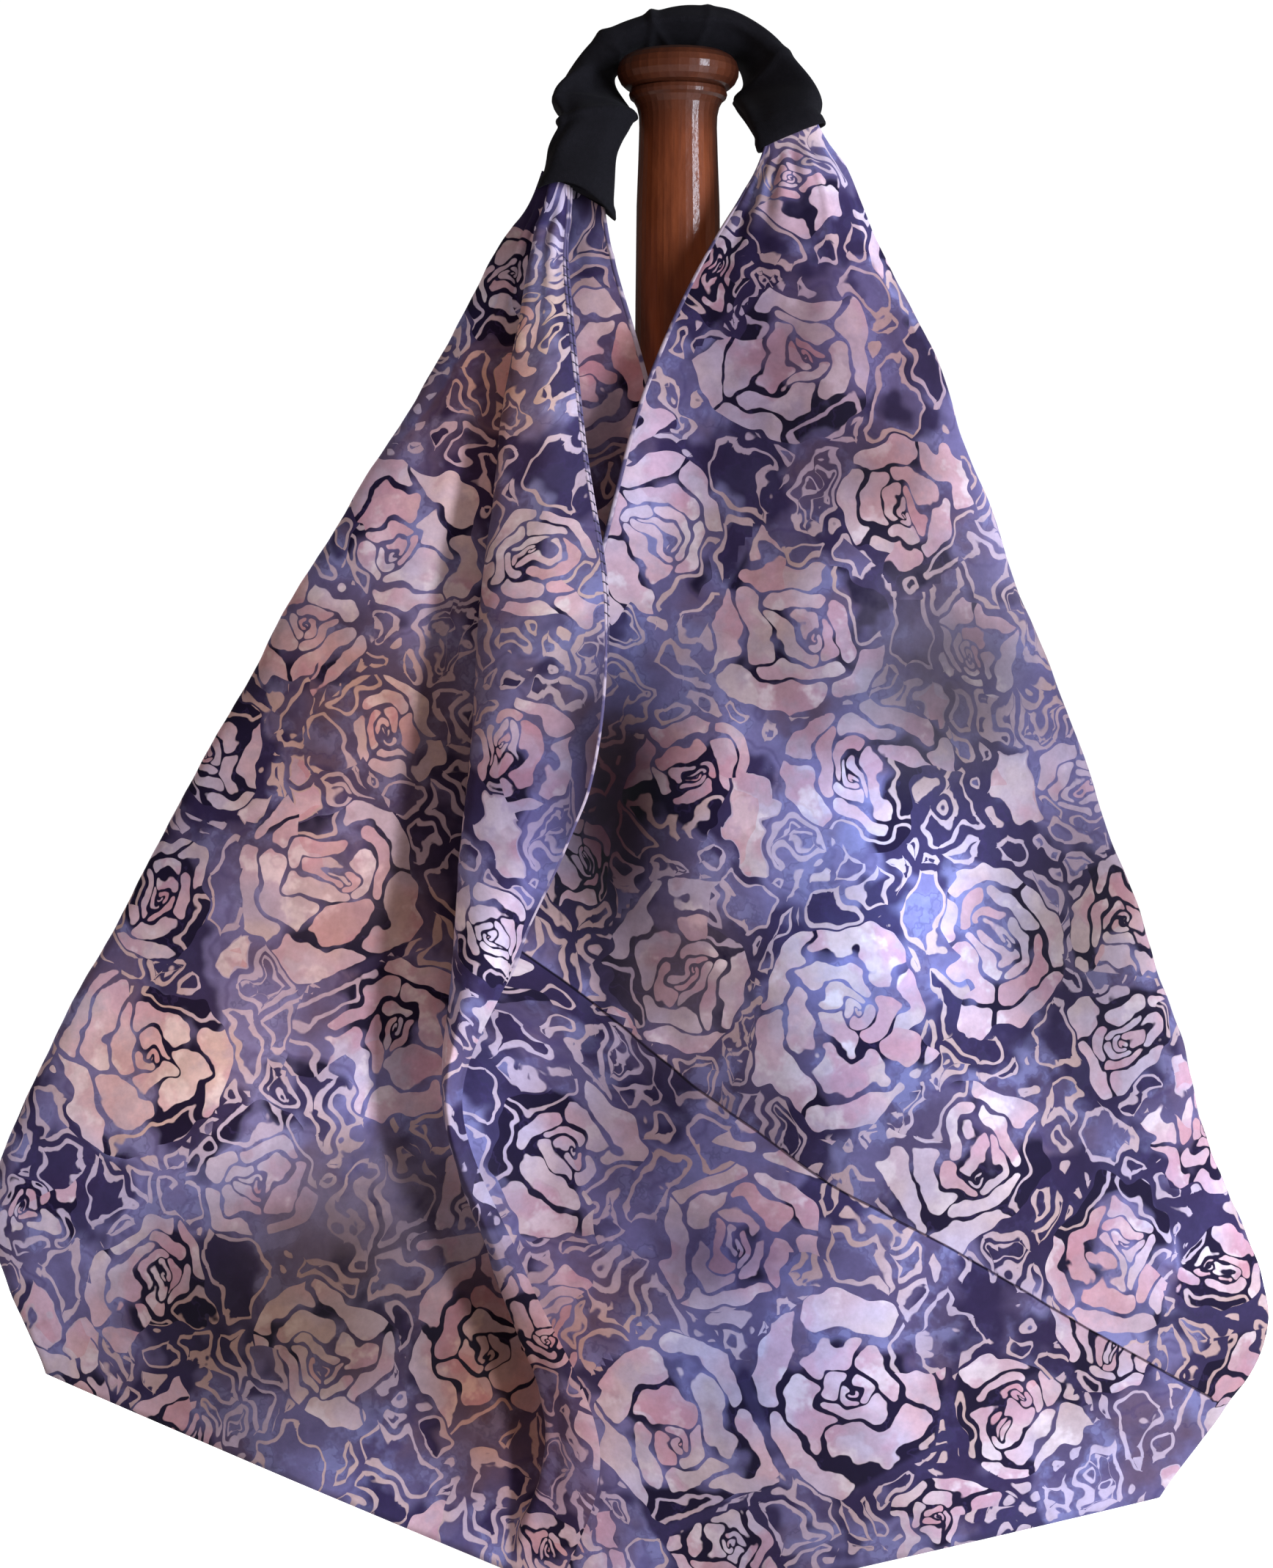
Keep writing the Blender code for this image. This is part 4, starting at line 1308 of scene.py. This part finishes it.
edge, out_way, normal = edges["flap"]
back = normal * np.sign(normal[:, 1:2].mean())
gone = np.concatenate([[0], np.cumsum(np.linalg.norm(np.diff(edge, axis=0), axis=1))])
level_at = np.interp(np.arange(0, gone[-1], STITCH_STEP), gone, levels_down[: len(gone)])
level_at = level_at[(level_at > STITCHED[0]) & (level_at < STITCHED[1])]
at_row = level_at * ROWS_PER_LEVEL


def along_edge(values):
    """Values of the edge's rows, read at the rows where a stitch begins."""
    return np.stack([np.interp(at_row, np.arange(len(values)), column) for column in values.T], axis=1)


start, finish = (
    along_edge(edge + out_way * out_by + back * behind_by)
    for out_by, behind_by in (STITCH_START, STITCH_FINISH)
)
draw = np.random.default_rng(STITCH_SEED)
lean = draw.uniform(*STITCH_LEANS, len(start))[:, None]
down, backwards = np.array([0.0, 0.0, -1.0]), along_edge(back).mean(0)
path = np.linspace(0, 1, STITCH_RINGS)[:, None]
bulge = backwards * STITCH_BULGE * np.sin(np.pi * path)
fat = STITCH_FAT * np.sqrt(np.clip(1 - (2 * path - 1) ** 4, THINNEST_END, 1))
stitch_points, stitch_faces = [], []
for first, last, slant in zip(start, finish, lean):
    centres = first + (last - first) * path + down * slant * path - bulge
    rings = swept(centres, fat * down, fat * backwards, STITCH_AROUND)
    stitch_faces += tube_faces(len(rings), STITCH_AROUND, sum(map(len, stitch_points)))
    stitch_points.append(rings.reshape(-1, 3))
stitches = faced_out(new_object("flap_stitches", np.concatenate(stitch_points) * MM, stitch_faces))
print("ladder stitches:", len(start))

# %% [markdown]
# ## Thread and turned edge
# The beads are the same cotton, mottled and paler than the cloth: the pale is partly the folded edge's own
# tone and partly a painted highlight along it. They carry no flowers, because a three millimetre edge shows
# only patches of the print. The stitches are dark thread.

# %% Make the turned edge and the thread
# The pale tone is partly a painted highlight along the folded edge.
EDGE_DARK, EDGE_PALE_HIGHLIGHT = (0.080, 0.062, 0.140), (0.400, 0.320, 0.380)
THREAD_COLOUR = (0.012, 0.008, 0.030)

turned_edge, wire, shader = new_material("turned edge")
object_place = wire.node("TexCoord").outputs["Object"]
patch = wire.noise(object_place, 55.0, 3.0, 0.6)
edge_tone_and_highlight = wire.blend(wire.smooth(patch, 0.46, 0.54), EDGE_DARK, EDGE_PALE_HIGHLIGHT)
wire.fill(shader, {"Base Color": edge_tone_and_highlight, "Roughness": 0.8})
hems.data.materials.append(turned_edge)

thread, wire, shader = new_material("dark thread")
wire.fill(shader, {"Base Color": THREAD_COLOUR, "Roughness": 0.6})
stitches.data.materials.append(thread)
print("materials:", turned_edge.name, "and", thread.name)

# %% [markdown]
# ## The strap
# The strap is a wide black cloth tube, pressed flat over the back of the cap and hemmed at both
# ends, where it takes in the gathered ears. It is a rounded section carried along a path. Every
# section has its outer edge, its inner edge and its thickness from the table, and creases are
# small waves that move its surface in and out.

# %% The rows of the strap
STRAP_BENDS = (
    # outer edge, inner edge, thickness
    ((-73, -26, 775), (-34, -26, 755.5), 24),
    ((-67, -22, 795), (-33, -19, 789), 15),
    ((-61, -15, 813), (-26, -10, 811), 14),
    ((-65, -6, 827), (-29, 7, 825), 16),
    ((-57, -3, 840), (-34, 18, 839), 16),
    ((-46, 0, 852), (-32, 25, 850), 16),
    ((-33, 3, 862), (-28, 29, 853.6), 16),
    ((-20, 5, 869), (-17, 30, 853.6), 16),
    ((-6, 5, 873), (-4, 30, 853.6), 16),
    ((10, 5, 874), (9, 30, 853.6), 16),
    ((28, 4, 873), (22, 30, 853.6), 16),
    ((44, 2, 863), (33, 28, 851), 14),
    ((58, -3, 850), (35, 21, 839), 12),
    ((70, -11, 835), (29, 14, 827), 12),
    ((73, -18, 822), (36, -10, 813), 14),
    ((72, -25, 812.5), (42, -25, 797), 20),
)
STRAP_STEPS = 12

bends = np.array([[*outer, *inner, thick] for outer, inner, thick in STRAP_BENDS], float)
along_strap = np.arange((len(bends) - 1) * STRAP_STEPS + 1) / STRAP_STEPS
strap_rows = np.stack([between_levels(column, along_strap) for column in bends.T], axis=1)


print("rows along the strap:", len(strap_rows))

# %% Hem both ends round the ears
CUFF_START = 4
CUFF_REACH = (0.0, 2.5, 6.0, 7.0, 6.6, 2.0)
CUFF_WIDER = (1.02, 1.08, 1.10, 1.08, 1.03, 1.0)
CUFF_THICKER = 2.2
LEFT_WAY, RIGHT_WAY = np.array([-0.05, 0.0, -1.0]), np.array([0.35, 0.0, -0.94])


def cuff(row, way):
    """Rows that carry on past an end of the tube, widen round the ear and turn back inside the hem."""
    made = []
    middle = (row[:3] + row[3:6]) / 2
    for reach, wider in zip(CUFF_REACH, CUFF_WIDER):
        sides = [middle + (side - middle) * wider + way * reach for side in (row[:3], row[3:6])]
        made.append([*sides[0], *sides[1], row[6] * (1 + (wider - 1) * CUFF_THICKER)])
    return np.array(made)


strap_rows = np.concatenate([
    cuff(strap_rows[CUFF_START], LEFT_WAY)[::-1],
    strap_rows[CUFF_START + 1 : -CUFF_START - 1],
    cuff(strap_rows[-CUFF_START - 1], RIGHT_WAY),
])
print("rows with the hems:", len(strap_rows))

# %% [markdown]
# Round each row lies a section between a rectangle and an ellipse, a superellipse:
# $|x|^n + |y|^n = 1$ with $n = 2.6$. Its $x$ runs from the outer edge to the inner one, and its $y$
# square to that and to the path.

# %% Carry the section along the rows
STRAP_AROUND = 120
STRAP_SQUARENESS = 2.6
LIFT, LIFTED_ROWS = 8.0, 20

outer, inner, thick = strap_rows[:, :3], strap_rows[:, 3:6], strap_rows[:, 6]
centre, half = (outer + inner) / 2, (inner - outer) / 2
core = slice(len(CUFF_REACH), len(strap_rows) - len(CUFF_REACH))
along = np.gradient(centre[core], axis=0)
away = np.tile(np.array([0.0, 1.0, 0.0]), (len(centre), 1))
away[core] = np.cross(along, half[core])
away *= np.where(away[:, 1:2] < 0, -1, 1)
away /= np.linalg.norm(away, axis=1, keepdims=True)

around = np.linspace(0, 2 * np.pi, STRAP_AROUND, endpoint=False)
wide, deep = (
    np.sign(wave) * np.abs(wave) ** (2 / STRAP_SQUARENESS) for wave in (np.cos(around), np.sin(around))
)
tube = (
    centre[:, None]
    + half[:, None] * wide[None, :, None]
    + away[:, None] * (thick[:, None] / 2 * deep[None, :])[..., None]
)
past_cuff = np.maximum(np.arange(len(tube)) - len(CUFF_REACH) + 1, 0)
low_end = np.clip(1 - past_cuff / LIFTED_ROWS, 0, 1)[:, None]
tube[..., 2] += LIFT * np.sin(np.pi * (wide[None] + 1) / 2) * low_end
walk = np.concatenate([[0], np.cumsum(np.linalg.norm(np.diff(centre, axis=0), axis=1))])
print("strap, millimetres along its middle:", round(float(walk[-1])))

# %% Crease the strap
STRAP_ROUND = 90.0
ENDS_STEADY = 14
STRAP_WAVES = (
    # height, stretch round and along the tube, wavelength, how many waves, seed
    (0.7, (1.0, 0.35), 14, 8, 41),
    (0.8, (0.6, 1.0), 30, 6, 42),
)
STRAP_FOLDS = (
    # row, slant over the width, half width and depth of the fold, all but the row in millimetres
    (26, 3.0, 2.4, 2.6), (32, -5.0, 2.0, 0.9), (62, -9.0, 2.6, 1.1), (74, 6.0, 2.2, 0.9),
    (86, -5.0, 2.4, 1.3), (97, 7.0, 2.2, 1.0), (109, -6.0, 2.0, 0.8), (150, 8.0, 2.6, 0.9),
)

round_walk = around / (2 * np.pi) * STRAP_ROUND
strap_flat = np.stack(np.broadcast_arrays(round_walk[None, :], walk[:, None]), axis=2)
creases = sum(
    height * soft_waves(strap_flat * stretch, wavelength, how_many, seed)
    for height, stretch, wavelength, how_many, seed in STRAP_WAVES
)
for row, slant, half_wide, depth in STRAP_FOLDS:
    from_fold = walk[:, None] - walk[row] - slant * wide[None]
    creases = creases - depth * np.exp(-((from_fold / half_wide) ** 2))
from_end = np.minimum(np.arange(len(walk)), np.arange(len(walk))[::-1])
creases = creases * np.clip(from_end / ENDS_STEADY, 0, 1)[:, None]
tube += outward(np.concatenate([tube, tube[:, :1]], axis=1))[:, :-1] * creases[..., None]
strap = new_object("strap_tube", tube.reshape(-1, 3) * MM, tube_faces(len(tube), STRAP_AROUND))
faced_out(strap)
print("strap:", len(strap.data.polygons), "faces")

# %% [markdown]
# ## Black cotton
# Black cloth is never one black. Its threads catch a little light, so the colour is a very dark
# grey that varies with the weave, with sheen at glancing angles.

# %% Make the black cotton
BLACK_THREADS, LINT_WAVES = 1700.0, 500.0
BLACK_TONES = ((0.003, 0.003, 0.004), (0.010, 0.009, 0.012))

black, wire, shader = new_material("black cotton")
object_place = wire.node("TexCoord").outputs["Object"]
inputs = {"Place": object_place, "Threads": BLACK_THREADS}
weave = wire.node("Group", inputs, node_tree=weave_group).outputs["Height"]
shade = wire.blend(wire.noise(object_place, LINT_WAVES, 3.0, 0.7), *BLACK_TONES)
bump = wire.node("Bump", {"Strength": 0.5, "Distance": 0.0003, "Height": weave})
wire.fill(shader, {
    "Base Color": shade, "Normal": bump.outputs[0], "Roughness": 0.9,
    "Sheen Weight": 0.02, "Sheen Roughness": 0.5, "Specular IOR Level": 0.08,
})
strap.data.materials.append(black)
print("black cotton:", len(black.node_tree.nodes), "nodes")

# %% [markdown]
# ## Varnished wood
# The post and its foot are turned hardwood under a red-brown varnish. Grain runs along the post, so the noise
# is stretched along Z, and fine dark pores are stretched even more. The varnish is a clear coat over the
# wood, smooth enough to mirror the lamps as a bright streak. The wood's colour is painted darker towards the
# post's outline, where the surface turns away from the view, as painted shade. It is also darker on top of
# the cap, as the strap's painted shadow.

# %% Colour the wood
GRAIN_STRETCH, PORE_STRETCH = (1.0, 1.0, 0.16), (1.0, 1.0, 0.03)
GRAIN_WAVES, PORE_WAVES = 95.0, 900.0
GRAIN_TONES = ((0.098, 0.0235, 0.0085), (0.165, 0.042, 0.0145))
# The cap tone paints the strap's shadow on the cap, and the deep tone paints shade towards the post's
# outline.
PORE_TONE, CAP_SHADOW_TONE, OUTLINE_SHADE_TONE = (0.050, 0.012, 0.005), (0.040, 0.012, 0.006), (0.020, 0.005, 0.0025)
CAP_BEGINS, CAP_FULL = 0.800, 0.825

wood, wire, shader = new_material("varnished wood")
object_place = wire.node("TexCoord").outputs["Object"]
grain, pores = (
    wire.node("Mapping", {"Vector": object_place, "Scale": stretch}).outputs[0]
    for stretch in (GRAIN_STRETCH, PORE_STRETCH)
)
bands, fine = wire.noise(grain, GRAIN_WAVES, 4.0, 0.6), wire.noise(pores, PORE_WAVES, 3.0, 0.6)
height = wire.split(object_place)[2]
facing = wire.node("LayerWeight", {"Blend": 0.5}).outputs["Facing"]
tone = wire.blend(wire.smooth(bands, 0.35, 0.65), *GRAIN_TONES)
tone_dips = (
    # where, where it begins, where it is full, strength, tone
    (fine, 0.55, 0.70, 0.35, PORE_TONE),
    # painted shadow of the strap on top of the cap
    (height, CAP_BEGINS, CAP_FULL, 0.7, CAP_SHADOW_TONE),
    # painted shade towards the post's outline, where the surface turns away from the view
    (facing, 0.15, 0.80, 0.85, OUTLINE_SHADE_TONE),
)
for where, low, high, strength, darker in tone_dips:
    tone = wire.blend(wire.times(wire.smooth(where, low, high), strength), tone, darker)
print("wood tones:", 2 + len(tone_dips))

# %% Varnish the wood
BRUSH_WAVES = 320.0

brushed = wire.noise(object_place, BRUSH_WAVES, 2.0)
bump = wire.node("Bump", {"Strength": 0.12, "Distance": 0.0004, "Height": fine}).outputs[0]
bump = wire.node("Bump", {"Strength": 0.35, "Distance": 0.0006, "Height": brushed, "Normal": bump}).outputs[0]
wire.fill(shader, {
    "Base Color": tone, "Normal": bump, "Roughness": wire.math("MULTIPLY_ADD", fine, 0.15, 0.40),
    "Specular IOR Level": 0.1, "Coat Weight": 0.3, "Coat Roughness": 0.17, "Coat Normal": bump,
})
for name in ("post", "foot"):
    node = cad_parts[name]
    node.data.materials.clear()
    node.data.materials.append(wood)
print("wood on post and foot")

# %% [markdown]
# ## Floor and light
# The picture has a plain white surround. A pale floor and an even white sky give that. A tall cool
# lamp from the front right and a weaker warm one from the left model the folds, and four more
# brighten the shadows. Each lamp is a rectangle that faces the middle of the bag. One that isn't
# mirrored doesn't show as a bright spot in the varnish.

# %% Floor and sky
FLOOR_HALF = 4.0
FLOOR_GREY, FLOOR_GLOW, GLOW_LEAST = (0.9, 0.9, 0.9), 0.55, 0.45
GLOW_BEGINS, GLOW_FULL = 0.22, 0.75
SKY_SEEN, SKY_LIGHT = 0.98, 0.07

floor_material, wire, shader = new_material("pale floor")
from_post = wire.vector("LENGTH", wire.node("TexCoord").outputs["Object"])
glow = wire.math("MULTIPLY_ADD", wire.smooth(from_post, GLOW_BEGINS, GLOW_FULL), FLOOR_GLOW, GLOW_LEAST)
seen = wire.node("LightPath").outputs["Is Camera Ray"]
wire.fill(shader, {
    "Base Color": FLOOR_GREY, "Roughness": 0.9,
    "Emission Color": WHITE, "Emission Strength": wire.times(seen, glow),
})
corners = [(x * FLOOR_HALF, y * FLOOR_HALF, 0) for x, y in ((-1, -1), (1, -1), (1, 1), (-1, 1))]
floor = new_object("floor", corners, [(0, 1, 2, 3)], floor_material)

world = bpy.data.worlds.new("sky")
world.use_nodes = True
bpy.context.scene.world = world
wire = Wiring(world.node_tree)
seen = wire.node("LightPath").outputs["Is Camera Ray"]
strength = wire.math("MULTIPLY_ADD", seen, SKY_SEEN, SKY_LIGHT)
wire.fill(world.node_tree.nodes["Background"], {"Color": WHITE, "Strength": strength})
bpy.context.scene.view_settings.view_transform = "Standard"
print("floor and sky are white where the camera sees them")

# %% Lamps
LAMPS = (
    # name, place, width and height, power, colour, whether the varnish mirrors it
    ("window", (1.38, -1.25, 0.75), (0.22, 1.5), 55.5, (0.82, 0.885, 1.02), True),
    ("room", (-0.95, -1.45, 0.60), (0.6, 0.6), 5.0, (1.0, 0.70, 0.57), False),
    ("ceiling", (0.1, -1.2, 1.8), (0.7, 0.7), 2.5, (1.0, 0.92, 0.86), False),
    ("right_side", (1.5, 0.0, 0.95), (0.5, 0.5), 10.0, (1.0, 0.96, 0.92), False),
    ("back_left", (-1.2, 1.3, 1.2), (0.8, 0.8), 22.0, (1.0, 0.95, 0.90), False),
    ("back_right", (1.0, 1.5, 0.7), (0.8, 0.8), 12.0, (0.88, 0.93, 1.0), False),
)
LIT = np.array([0.0, -0.05, 0.42])

for name, place, size, power, lamp_colour, mirrored in LAMPS:
    data = bpy.data.lights.new(name, "AREA")
    data.shape = "RECTANGLE"
    data.size, data.size_y, data.energy, data.color = *size, power, lamp_colour
    lamp = bpy.data.objects.new(name, data)
    lamp.location = place
    way = LIT - place
    lamp.rotation_euler = (np.arccos(-way[2] / np.linalg.norm(way)), 0, np.arctan2(-way[0], way[1]))
    lamp.visible_camera = False
    lamp.visible_glossy = mirrored
    bpy.context.scene.collection.objects.link(lamp)

# %% [markdown]
# ## The pieces on the body
# Each new piece rides on the one body. The bag's and the strap's plain solids are hidden, since the new cloth
# and strap stand in for them.

# %% Attach the pieces to the body
SLOTS = ((bag, "batik_cotton"), (hems, "batik_cotton"), (stitches, "batik_cotton"), (strap, "black_cotton"))
for piece, slot_name in SLOTS:
    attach(piece, "root")
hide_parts("bag")
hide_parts("strap")
